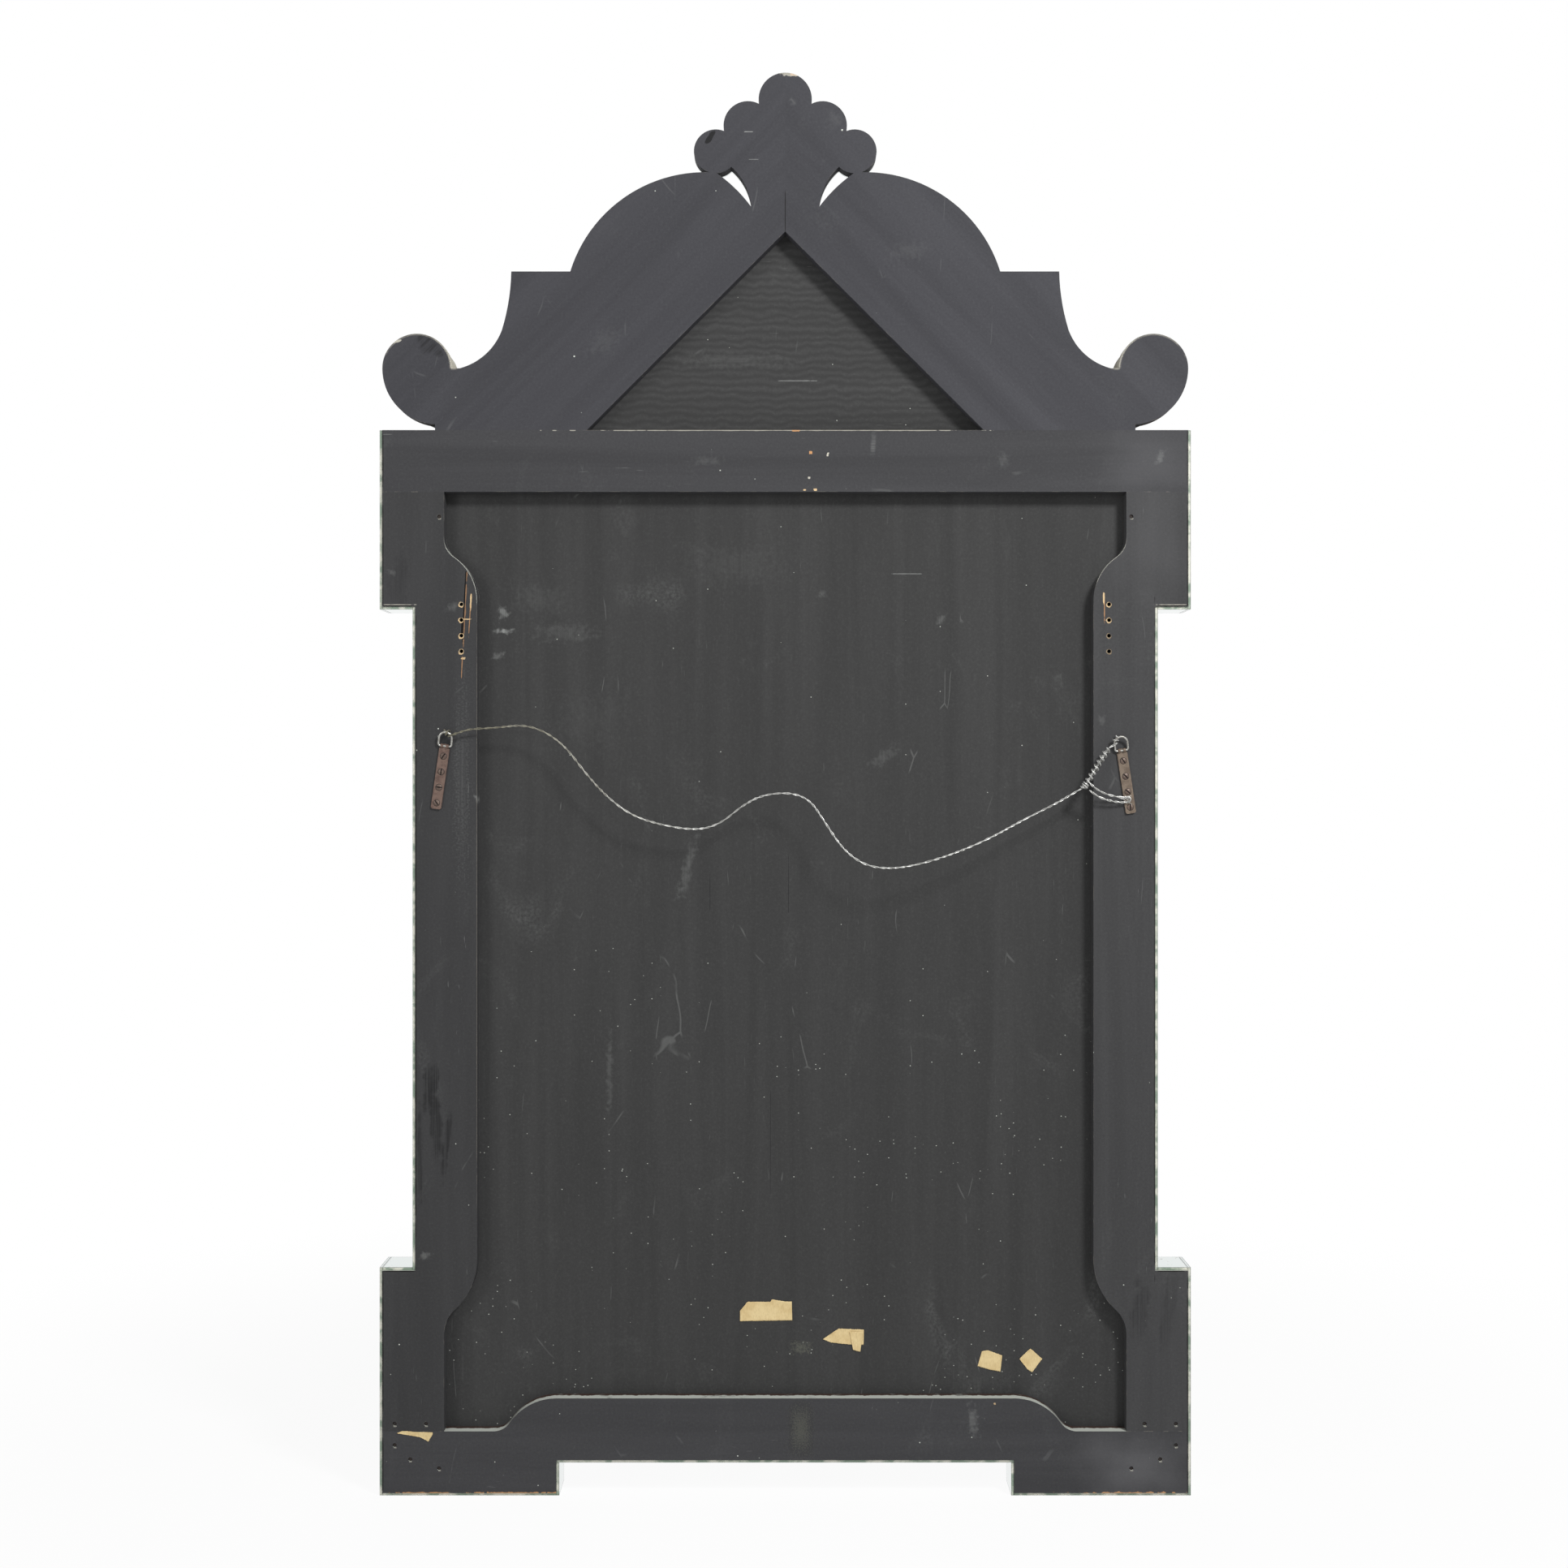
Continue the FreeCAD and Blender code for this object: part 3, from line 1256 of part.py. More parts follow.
doc.recompute()
for item in doc.Objects:
    if "Invalid" in item.State or "Error" in item.State:
        raise RuntimeError(f"{item.Name} failed: {item.State}")
    if item.TypeId == "PartDesign::Pocket" and item.BaseFeature:
        if item.BaseFeature.Shape.Volume - item.Shape.Volume < 1e-3:
            raise RuntimeError(f"{item.Name} cuts nothing")
for item in subparts:
    if item.Shape.isNull() or not item.Shape.isValid():
        raise RuntimeError(f"{item.Label} has no valid shape")

os.makedirs("parts", exist_ok=True)
for item in subparts:
    item.Shape.exportStep(f"parts/{item.Label}.step")
print(f"{len(subparts)} sub-parts written")
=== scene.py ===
import collections
import math

import bmesh
import bpy
import numpy as np
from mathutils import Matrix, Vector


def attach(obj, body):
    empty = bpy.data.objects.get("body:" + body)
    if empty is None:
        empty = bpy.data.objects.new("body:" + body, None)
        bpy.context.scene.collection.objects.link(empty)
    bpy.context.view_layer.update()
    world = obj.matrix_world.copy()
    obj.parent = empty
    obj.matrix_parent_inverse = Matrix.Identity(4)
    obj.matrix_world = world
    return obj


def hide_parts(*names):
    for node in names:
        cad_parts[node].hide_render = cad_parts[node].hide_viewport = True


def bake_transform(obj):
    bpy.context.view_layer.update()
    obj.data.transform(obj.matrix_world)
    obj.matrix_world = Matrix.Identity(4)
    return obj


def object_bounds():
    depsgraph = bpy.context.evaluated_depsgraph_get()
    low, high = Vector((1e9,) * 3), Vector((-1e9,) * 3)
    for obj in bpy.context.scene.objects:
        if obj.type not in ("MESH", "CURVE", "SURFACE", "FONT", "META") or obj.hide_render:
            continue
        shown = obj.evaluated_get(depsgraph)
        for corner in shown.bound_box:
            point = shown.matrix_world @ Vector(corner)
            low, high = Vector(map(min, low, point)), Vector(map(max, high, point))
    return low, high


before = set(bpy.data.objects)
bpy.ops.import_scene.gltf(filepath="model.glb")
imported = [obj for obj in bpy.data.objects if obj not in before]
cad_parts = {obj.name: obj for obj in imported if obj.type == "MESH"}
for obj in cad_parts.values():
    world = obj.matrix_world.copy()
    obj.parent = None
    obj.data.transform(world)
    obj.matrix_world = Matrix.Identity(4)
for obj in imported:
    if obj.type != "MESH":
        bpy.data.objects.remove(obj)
cad_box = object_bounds()

# Back boards: two softwood rails and two stiles, butted and dowelled into the flat back of the frame.
# They were brushed with thin dark paint, which has worn pale along the edges and grown dusty on its ledges.
# The grain runs along each board, so it lies level in the rails and upright in the stiles.
MM = 0.001
SIDES = (-1, 1)


def seen(red, green, blue):
    """A colour as the eye sees it, in steps of 255, made linear for a shader."""
    steps = np.array([red, green, blue]) / 255
    linear = np.where(steps <= 0.04045, steps / 12.92, ((steps + 0.055) / 1.055) ** 2.4)
    return (*linear.tolist(), 1.0)


def feed(item, sockets):
    """Gives a node's sockets, by name or number, a value or a link from another node's output."""
    for label, source in sockets.items():
        if isinstance(source, bpy.types.NodeSocket):
            item.id_data.links.new(source, item.inputs[label])
        else:
            item.inputs[label].default_value = source


def put(kind, sockets, tree=None, **settings):
    """A shader node with its settings and what its sockets are given. It goes into the tree of the nodes that
    feed it, unless a tree is named."""
    if tree is None:
        tree = next(source.id_data for source in sockets.values() if isinstance(source, bpy.types.NodeSocket))
    item = tree.nodes.new(kind)
    for name, setting in settings.items():
        setattr(item, name, setting)
    feed(item, sockets)
    return item


def reckon(operation, *terms):
    """The value of one sum on numbers or other values."""
    return put("ShaderNodeMath", dict(enumerate(terms)), operation=operation).outputs[0]


def times(value, factor):
    """The product of two values."""
    return reckon("MULTIPLY", value, factor)


def graded(value, factor, start):
    """A value times a factor, added to a start."""
    return reckon("MULTIPLY_ADD", value, factor, start)


def between(value, low, high):
    """A soft step from 0 at the low mark to 1 at the high one. Marks in falling order turn it round."""
    sockets = {"Value": value, "From Min": low, "From Max": high}
    return put("ShaderNodeMapRange", sockets, interpolation_type="SMOOTHSTEP").outputs["Result"]


def over(share, under, top):
    """One colour laid over another by a share."""
    return put("ShaderNodeMix", {0: share, 6: under, 7: top}, data_type="RGBA").outputs[2]


def coated(coat, *layers):
    """A colour with layers laid over it in turn, each of them a mask, its strength and a tint."""
    for mask, strength, tint in layers:
        coat = over(times(mask, strength), coat, tint)
    return coat


def vector_sum(operation, *terms):
    """The outputs of one sum on vectors."""
    return put("ShaderNodeVectorMath", dict(enumerate(terms)), operation=operation).outputs


def stretched(vector, factors):
    """Coordinates stretched by three factors."""
    return vector_sum("MULTIPLY", vector, factors)[0]


def apart(vector):
    """A vector's X, Y and Z."""
    return put("ShaderNodeSeparateXYZ", {0: vector}).outputs


def facing(tree):
    """The X, Y and Z of the way that a face looks."""
    return apart(put("ShaderNodeTexCoord", {}, tree).outputs["Normal"])


def cloud(vector, scale, detail=3.0, roughness=0.55, distortion=0.0):
    """Soft noise from 0 to 1."""
    sockets = {"Vector": vector, "Scale": scale, "Detail": detail}
    sockets |= {"Roughness": roughness, "Distortion": distortion}
    return put("ShaderNodeTexNoise", sockets).outputs["Fac"]


def streaks(vector, along, across, *look):
    """Noise with so many waves to a metre along X and across it."""
    return cloud(stretched(vector, (along, across, across)), 1, *look)


def bumped(height, strength, distance):
    """The normal of a surface that noise raises by up to a distance in metres."""
    sockets = {"Height": height, "Strength": strength, "Distance": distance}
    return put("ShaderNodeBump", sockets).outputs[0]


def new_group(name, inputs, outputs):
    """An empty node group, its inputs' sockets and its end node. An input that starts at None is a vector,
    and every other socket is a value."""
    tree = bpy.data.node_groups.new(name, "ShaderNodeTree")
    for label, start in inputs.items():
        kind = "NodeSocketVector" if start is None else "NodeSocketFloat"
        socket = tree.interface.new_socket(label, in_out="INPUT", socket_type=kind)
        if start is not None:
            socket.default_value = start
    for label in outputs:
        tree.interface.new_socket(label, in_out="OUTPUT", socket_type="NodeSocketFloat")
    return tree, tree.nodes.new("NodeGroupInput").outputs, tree.nodes.new("NodeGroupOutput")


def use(group, **sockets):
    """The outputs of a group placed in a material with its own values."""
    return put("ShaderNodeGroup", sockets, node_tree=group).outputs


# Grain drawn out along X: broad figure, fine fibres, and short dashes where the paint has left the fibres
timber_grain, given, end = new_group("timber_grain", {"Vector": None}, ["Figure", "Fibre", "Dashes"])
line = between(streaks(given["Vector"], 38, 620, 2), 0.66, 0.76)
patch = between(streaks(given["Vector"], 5, 22, 3), 0.52, 0.68)
figure = streaks(given["Vector"], 1.5, 26, 5, 0.6, 0.5)
fibre = streaks(given["Vector"], 7, 420, 3)
feed(end, {"Figure": figure, "Fibre": fibre, "Dashes": times(line, patch)})

# Edge wear: where a bevelled normal leaves the true one, broken up by noise
edge_wear, given, end = new_group("edge_wear", {"Vector": None, "Width": 0.002, "Amount": 0.5}, ["Wear"])
rounded = put("ShaderNodeBevel", {"Radius": given["Width"]}, samples=4).outputs[0]
plain = put("ShaderNodeNewGeometry", {}, edge_wear).outputs["Normal"]
agreement = vector_sum("DOT_PRODUCT", rounded, plain)["Value"]
corner = between(agreement, 0.985, 0.85)
broken = cloud(given["Vector"], 60, 4, 0.65)
threshold = reckon("SUBTRACT", 0.95, given["Amount"])
kept = between(broken, threshold, reckon("ADD", threshold, 0.08))
feed(end, {"Wear": times(corner, kept)})

# Dust that lies on whatever faces up, thinner where it was brushed off
ledge_dust, given, end = new_group("ledge_dust", {"Vector": None}, ["Dust"])
lying = between(facing(ledge_dust)["Z"], 0.35, 0.9)
thin = between(cloud(given["Vector"], 45, 4), 0.2, 0.42)
feed(end, {"Dust": times(lying, thin)})

# Scuffs: cloudy chalk, and short thin scratches cut from the borders of bent, upright cells
scuffing, given, end = new_group("scuffing", {"Vector": None}, ["Chalk", "Scratch"])
smear = cloud(stretched(given["Vector"], (9, 9, 6)), 1, 6, 0.62, 1.2)
grit = cloud(given["Vector"], 260, 3)
chalk = times(between(smear, 0.55, 0.78), between(grit, 0.3, 0.75))
bend = put("ShaderNodeTexNoise", {"Vector": given["Vector"], "Scale": 7.0}).outputs["Color"]
upright = stretched(given["Vector"], (1, 1, 0.3))
bent = vector_sum("MULTIPLY_ADD", bend, (0.025, 0.025, 0.025), upright)[0]
cells = put("ShaderNodeTexVoronoi", {"Vector": bent, "Scale": 14.0}, feature="DISTANCE_TO_EDGE")
line = between(cells.outputs["Distance"], 0.008, 0.003)
short = between(cloud(given["Vector"], 19, 2), 0.6, 0.68)
feed(end, {"Chalk": chalk, "Scratch": times(line, short)})

# Specks of dirt: small dots of differing size, one to a cell, kept in a share of the cells
dirt_specks, given, end = new_group("dirt_specks", {"Vector": None, "Share": 0.1}, ["Specks"])
cells = put("ShaderNodeTexVoronoi", {"Vector": given["Vector"], "Scale": 190.0}).outputs
chance = put("ShaderNodeSeparateColor", {0: cells["Color"]}).outputs
size = graded(chance["Green"], 0.14, 0.05)
dot = between(cells["Distance"], size, times(size, 0.55))
chosen = reckon("LESS_THAN", chance["Red"], given["Share"])
feed(end, {"Specks": times(dot, chosen)})

# A mark at one place: a leaning patch in X and Z with a ragged border. Its reach from the centre is the root
# of two powers added up, which makes it round where the power, its squareness, is 2
mark_inputs = dict.fromkeys(["Vector", "Centre", "Half"])
mark_inputs |= dict.fromkeys(["Lean", "Ragged", "Fineness", "Soft", "Squareness"], 0.0)
mark_at, given, end = new_group("mark_at", mark_inputs, ["Mark"])
offset = apart(vector_sum("SUBTRACT", given["Vector"], given["Centre"])[0])
half = apart(given["Half"])
across = reckon("SUBTRACT", offset["X"], times(offset["Z"], given["Lean"]))
across = reckon("DIVIDE", reckon("ABSOLUTE", across), half["X"])
along = reckon("DIVIDE", reckon("ABSOLUTE", offset["Z"]), half["Z"])
across, along = [reckon("POWER", part, given["Squareness"]) for part in (across, along)]
root = reckon("DIVIDE", 1.0, given["Squareness"])
reach = reckon("POWER", reckon("ADD", across, along), root)
fray = reckon("SUBTRACT", cloud(given["Vector"], given["Fineness"], 4), 0.5)
reach = graded(fray, times(given["Ragged"], 2.0), reach)
inside = reckon("SUBTRACT", 1.0, given["Soft"])
feed(end, {"Mark": between(reach, 1.0, inside)})

RAW_WOOD = seen(200, 150, 104)
PALE_WOOD = seen(214, 186, 144)
WORN_EDGE = seen(132, 128, 118)
GESSO = seen(200, 196, 182)
CHALK, HAZE = seen(150, 152, 150), seen(150, 150, 153)
DUST = seen(196, 200, 192)
LEDGE_DIRT = seen(62, 47, 41)
BLACK_PAINT = seen(34, 34, 35)
SPLIT = seen(16, 13, 12)

# A mark: its colour and strength, its centre and half sizes across and up in millimetres, its lean, and how
# ragged, fine and soft its border is. Streaks break it up along the grain, a mark on the sides leaves the
# face alone, and a square of 2 makes it round
Mark = collections.namedtuple(
    "Mark",
    "tint strength at half lean ragged fineness soft streaks sides square",
    defaults=(0, 0.5, 150, 0.2, 0, False, 4),
)


def chalky(strength, at, half, lean=0):
    """A cloudy smear of chalk."""
    return Mark(CHALK, strength, at, half, lean, 1.2, 170, 1.0, 0.35)


def smeared(strength, at, half, lean=0):
    """A streak of darker, fresher paint."""
    return Mark(BLACK_PAINT, strength, at, half, lean, 0.9, 55, 0.5, 0.7)


def rim_highlight(across, up):
    """A painted highlight, pale as gesso, at the lower rim of a nail hole, where light from above falls in.
    """
    return Mark(GESSO, 0.4, (across + 0.5, up - 2.9), (1.9, 0.8), 0.3, 0.8, 260)


def dark_edge(at, half, ragged=0.8, fineness=60, strength=0.7):
    """A dark line along a board's outer edge, beside the glass."""
    return Mark(SPLIT, strength, at, half, 0, ragged, fineness)


def joint(at, half):
    """A place where two boards meet."""
    return Mark(SPLIT, 1.0, at, half, 0, 0, 60, 0.1)


def new_material(name):
    """A material, its surface shader and its Object coordinates."""
    material = bpy.data.materials.new(name)
    material.use_nodes = True
    tree = material.node_tree
    tree.nodes.clear()
    shader = put("ShaderNodeBsdfPrincipled", {}, tree)
    put("ShaderNodeOutputMaterial", {"Surface": shader.outputs[0]})
    return material, shader, put("ShaderNodeTexCoord", {}, tree).outputs["Object"]


def marked(place, spot):
    """Where a mark lies on a board."""
    return use(
        mark_at,
        Vector=place,
        Centre=(spot.at[0] * MM, 0, spot.at[1] * MM),
        Half=(spot.half[0] * MM, 1, spot.half[1] * MM),
        Lean=spot.lean,
        Ragged=spot.ragged,
        Fineness=spot.fineness,
        Soft=spot.soft,
        Squareness=spot.square,
    )["Mark"]


def turned_about_y(place, degrees):
    """Coordinates turned about Y, so that grain along X runs another way."""
    sockets = {"Vector": place, "Rotation": (0, math.radians(degrees), 0)}
    return put("ShaderNodeMapping", sockets).outputs[0]


def shade(colour, factor):
    """A colour made darker or lighter by a factor."""
    return tuple(factor * part for part in colour[:3]) + (1.0,)


def painted_wood(
    name,
    colour,
    grain_turn,
    marks=(),
    rubbed=(),
    rub_width=1.6,
    specks=0.03,
    wave=0.0,
    scuffs=0.5,
    dashes=0.3,
    unworn=(),
):
    """Dark paint on a board: grain turned about Y, mottle, scuffs, specks, marks, edge wear and dust laid
    over each other. Edges inside a rubbed mark are bare, and those inside an unworn one, where two boards
    meet, keep their paint. Dust on a ledge gives way to dirt at its back."""
    material, shader, place = new_material(name)
    turned = turned_about_y(place, grain_turn)
    grain = use(timber_grain, Vector=turned)
    scuff = use(scuffing, Vector=place)
    at = apart(place)
    on_side = between(reckon("ABSOLUTE", facing(material.node_tree)["Y"]), 0.6, 0.3)
    rows = between(grain["Fibre"], 0.4, 0.6)
    coat = over(between(grain["Figure"], 0.25, 0.8), shade(colour, 0.88), shade(colour, 1.12))
    mottle = cloud(place, 330, 4, 0.7)
    coat = coated(
        coat,
        (between(mottle, 0.5, 0.72), 0.035, CHALK),
        (between(mottle, 0.5, 0.3), 0.16, BLACK_PAINT),
    )
    height = times(grain["Fibre"], 0.6)
    if wave:
        bands = {"Vector": turned, "Scale": 34.0, "Distortion": 5.5, "Detail": 3.0, "Detail Scale": 1.3}
        rings = put("ShaderNodeTexWave", bands, bands_direction="Z").outputs["Fac"]
        coat = coated(coat, (rings, wave, shade(colour, 0.62)))
        height = graded(rings, -0.8, height)
    cluster = between(cloud(place, 8, 2), 0.4, 0.66)
    settled = times(between(at["Z"], 0.7, 0.15), cluster)
    share = graded(settled, 1.8 * specks, 0.008)
    coat = coated(
        coat,
        (scuff["Chalk"], 0.16 * scuffs, CHALK),
        (scuff["Scratch"], 0.2 * scuffs, CHALK),
        (grain["Dashes"], dashes, CHALK),
        (use(dirt_specks, Vector=place, Share=share)["Specks"], 1.0, DUST),
    )
    for spot in marks:
        mark = marked(place, spot)
        if spot.streaks:
            mark = times(mark, graded(rows, spot.streaks, 1 - spot.streaks))
        if spot.sides:
            mark = times(mark, on_side)
        coat = coated(coat, (mark, spot.strength, spot.tint))
    wear = use(edge_wear, Vector=place, Width=0.0011, Amount=0.43)["Wear"]
    for spot in unworn:
        wear = times(wear, reckon("SUBTRACT", 1.0, marked(place, spot)))
    coat = coated(coat, (wear, 0.6, WORN_EDGE))
    if rubbed:
        bare = use(edge_wear, Vector=place, Width=rub_width * MM, Amount=0.75)["Wear"]
        for spot in rubbed:
            coat = coated(coat, (times(bare, marked(place, spot)), spot.strength, spot.tint))
    dust = use(ledge_dust, Vector=place)["Dust"]
    depth = graded(cloud(place, 130, 4), 0.01, at["Y"])
    dirt = times(dust, between(depth, 0.0165, 0.018))
    coat = coated(coat, (dust, 0.92, DUST), (dirt, 1.0, LEDGE_DIRT))
    rough = graded(between(grain["Figure"], 0.2, 0.9), -0.1, 0.72)
    bump = bumped(height, 0.2, 0.0006)
    feed(shader, {"Base Color": coat, "Roughness": rough, "Normal": bump, "Specular IOR Level": 0.15})
    return material


def dress(material, *names):
    """Gives CAD nodes a finish."""
    for name in names:
        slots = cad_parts[name].data.materials
        slots.clear()
        slots.append(material)


ALONG_X, ALONG_Z = 0, 90
EAR_EDGE, EAR_MIDDLE, WAIST_EDGE = 488.3, 469, 448.3
RAIL_PAINT = seen(63, 63, 65)
LEFT_PAINT, RIGHT_PAINT = seen(58, 58, 59), seen(65, 65, 66)

rail_chips = [
    Mark(RAW_WOOD, 1.0, (30.9, 1185), (2.2, 2.0), 0, 0.5, 220),
    Mark(GESSO, 0.9, (51.7, 1183), (1.3, 2.4), 0.3, 0.7, 260),
    Mark(GESSO, 0.9, (29, 1154.5), (1.5, 1.2), 0, 0.7, 260),
    Mark(PALE_WOOD, 1.0, (23.5, 1140), (2.2, 1.2), 0, 0.7, 240),
    Mark(PALE_WOOD, 1.0, (36.2, 1140.3), (2.4, 1.5), 0, 0.7, 240),
    Mark(GESSO, 0.6, (0, 1212.1), (240, 0.6), 0, 1.5, 60),
    Mark(RAW_WOOD, 0.9, (12.9, 1212), (6, 1.4), 0, 0.9, 200),
    *[dark_edge((side * EAR_EDGE, 1175), (0.9, 38), 0.7) for side in SIDES],
    chalky(0.12, (-95, 1175), (22, 7), 0.4),
    chalky(0.12, (265, 1176), (8, 12)),
    chalky(0.25, (455, 1180), (6, 11), 0.4),
    Mark(CHALK, 0.25, (107, 1196), (4, 17), 0.05, 0.6, 80, 0.8, 0.6),
    Mark(HAZE, 0.1, (440, 1180), (90, 60), 0, 0.5, 12, 1.0),
]
under_crest = [joint((side * 345, 1212), (100, 5)) for side in SIDES]
dress(painted_wood("top_rail_paint", RAIL_PAINT, ALONG_X, rail_chips, unworn=under_crest), "top_rail")

RESIDUE = seen(94, 95, 86)
FOOT_EDGE = -77.5
RUBBED_FEET = [(-330, 60), (-440, 34), (420, 50)]
RAIL_NAILS = [(474, -19.5), (455, -36.5), (420, -47.5)]
rail_marks = [
    Mark(BLACK_PAINT, 0.2, (19, 0), (17, 37), 0, 0.1, 60),
    Mark(RESIDUE, 0.5, (19, 0), (16.5, 36), 0, 1.6, 600, 1.0),
    *[Mark(RAW_WOOD, 0.8, (across, FOOT_EDGE), (half, 1.2), 0, 2.4, 130) for across, half in RUBBED_FEET],
    *[dark_edge((side * EAR_EDGE, -40), (0.9, 38), 0.7) for side in SIDES],
    Mark(PALE_WOOD, 0.7, (254, 31), (1.4, 1.2), 0, 0.7, 260),
    chalky(0.25, (228, 10), (8, 24), -0.1),
    Mark(HAZE, 0.2, (430, -45), (90, 56), 0, 0.5, 12, 1.0),
    # Painted highlights at the lower rims of the nail holes.
    *[rim_highlight(side * across, up) for side in SIDES for across, up in RAIL_NAILS],
]
dress(painted_wood("bottom_rail_paint", RAIL_PAINT, ALONG_X, rail_marks), "bottom_rail")

HOLE_OUT, HOLE_TOP, HOLE_PITCH, HOLE_RIM, HOLE_HALF = 393, 1001, 19, 3.7, 2.7
STILE_NAILS = [(420, 1107.5), (474, 6.5), (436, 6.5)]
stile_marks = {-1: [
    Mark(RAW_WOOD, 0.4, (-388.2, 1000), (0.8, 46), 0.052, 1.8, 60),
    Mark(SPLIT, 1.0, (-389.6, 1000), (0.9, 50), 0.052, 0.3, 90),
    Mark(SPLIT, 1.0, (-392.2, 972), (1.3, 10), 0.03, 0.2, 90),
    Mark(PALE_WOOD, 0.9, (-381.6, 1004), (1.1, 11), 0.03, 0.7, 160),
    Mark(RAW_WOOD, 0.6, (-383, 982), (0.6, 20), 0.06, 1.0, 160),
    Mark(PALE_WOOD, 0.9, (-386, 983), (5.5, 0.8), 0.4, 0.7, 160),
    Mark(PALE_WOOD, 0.8, (-391, 935.5), (3.0, 1.3), 0.2, 0.9, 220),
    Mark(RAW_WOOD, 0.6, (-392.4, 924), (0.5, 14), 0.05, 0.8, 160),
    smeared(0.85, (-430, 415), (11, 38), 0.04),
    smeared(0.8, (-424, 375), (9, 50), -0.12),
    smeared(0.75, (-411, 345), (5, 50), 0.1),
    smeared(0.6, (-443, 330), (4, 75)),
    smeared(0.3, (-470, 1030), (14, 34)),
    Mark(CHALK, 0.1, (-392, 790), (11, 125), 0, 2.6, 420, 1.0, 0.7),
    chalky(0.5, (-372, 762), (4, 9), -0.4),
    chalky(0.3, (-437, 210), (10, 5)),
    chalky(0.2, (-478, 1040), (6, 5)),
    chalky(0.2, (-402, 998), (10, 7), 0.9),
], 1: [
    Mark(PALE_WOOD, 0.9, (386.6, 1008), (1.2, 8), 0, 0.6, 160),
    Mark(RAW_WOOD, 0.6, (387.4, 993), (0.6, 14), 0, 1.0, 160),
    smeared(0.45, (430, 145), (12, 40), 0.1),
    smeared(0.3, (466, 150), (10, 60), 0.15),
    chalky(0.14, (384, 861), (7, 7)),
    Mark(HAZE, 0.06, (440, 1090), (80, 110), 0, 0.5, 12, 1.0),
]}
hole_rims = {-1: (1.0, 1.0, 1.0, 0.9), 1: (0.9, 0.8, 0.35, 0.3)}
for side, marks in stile_marks.items():
    marks += [
        dark_edge((side * WAIST_EDGE, 595), (0.9, 404), fineness=40),
        dark_edge((side * EAR_EDGE, 1068), (0.9, 70)),
        dark_edge((side * EAR_EDGE, 95), (0.9, 98)),
        dark_edge((side * EAR_MIDDLE, 191.9), (20, 0.9), 0.5, strength=0.8),
        dark_edge((side * EAR_MIDDLE, 999.3), (20, 0.8), 0.7),
        Mark(GESSO, 0.5, (side * EAR_MIDDLE, 1000.6), (20, 0.6), 0, 1.2, 110),
    ]
    # Painted highlights at the lower rims of the nail holes.
    marks += [rim_highlight(side * across, up) for across, up in STILE_NAILS]
    for count, strength in enumerate(hole_rims[side]):
        across, up = side * HOLE_OUT, HOLE_TOP - count * HOLE_PITCH
        rim_at, rim_half = (across - 0.3, up - 0.5), (HOLE_RIM, HOLE_RIM)
        marks.append(Mark(PALE_WOOD, strength, rim_at, rim_half, 0, 0.45, 260, square=2))
        marks.append(Mark(SPLIT, 1.0, (across, up), (HOLE_HALF, HOLE_HALF), 0, 0.1, 210, square=2))
# The left stile's inner edges face the key light: their pale rubbed strips are wear and painted highlight.
left_edges_worn_and_lit = [
    Mark(WORN_EDGE, 0.6, (-378, 640), (12, 400), 0, 0.6, 30, 0.4),
    Mark(seen(216, 218, 208), 1.0, (-393, 1045), (26, 50), 0, 0.3, 60, 0.3),
]
right_edges = [Mark(seen(186, 184, 174), 1.0, (393, 1055), (26, 36), 0, 0.6, 60, 0.3)]
left_paint = painted_wood("left_stile_paint", LEFT_PAINT, ALONG_Z, stile_marks[-1], left_edges_worn_and_lit, dashes=0.7)
right_paint = painted_wood("right_stile_paint", RIGHT_PAINT, ALONG_Z, stile_marks[1], right_edges, dashes=0.4)
dress(left_paint, "left_stile")
dress(right_paint, "right_stile")

# Crest: two boards that lean together over the triangle, seamed at the middle, with volutes and a lobed
# finial. Their grain follows the slope. Behind them stand thick cores, whose sawn edges are painted dark,
# and rubbed back to pale gesso on the volutes' inner sides.
CREST_PAINT = seen(65, 65, 69)
CREST_CORE_PAINT = seen(58, 57, 57)
CREST_SLOPE = 45
crest_marks = [
    Mark(BLACK_PAINT, 1.0, (-91, 1568), (4.2, 8), 0.55, 0.5, 60),
    Mark(RAW_WOOD, 1.0, (13, 1645), (8, 2.6), -0.4, 0.7, 120),
    Mark(GESSO, 0.6, (6, 1644.5), (12, 2.2), 0, 1.2, 200),
    Mark(CHALK, 0.8, (-44, 1574.5), (6, 0.6), 0, 0.6, 200),
    Mark(CHALK, 0.45, (-38, 1541), (6, 0.5), 0, 0.6, 200),
    Mark(DUST, 1.0, (69, 1576.6), (1.1, 1.1), 0, 0.2, 200),
    Mark(DUST, 1.0, (-256, 1302), (1.0, 1.0), 0, 0.2, 200),
    Mark(SPLIT, 0.8, (0, 1478), (0.6, 27), 0, 0.2, 60),
    Mark(GESSO, 0.8, (-471, 1320), (3.5, 2.0), 1.0, 1.0, 200),
    smeared(0.7, (-432, 1316), (15, 16), -0.6),
    chalky(0.2, (9, 1611.5), (4, 6)),
    chalky(0.07, (60, 1590), (12, 14)),
    chalky(0.06, (150, 1430), (30, 14), 0.4),
    chalky(0.07, (-220, 1320), (24, 20), 0.5),
]
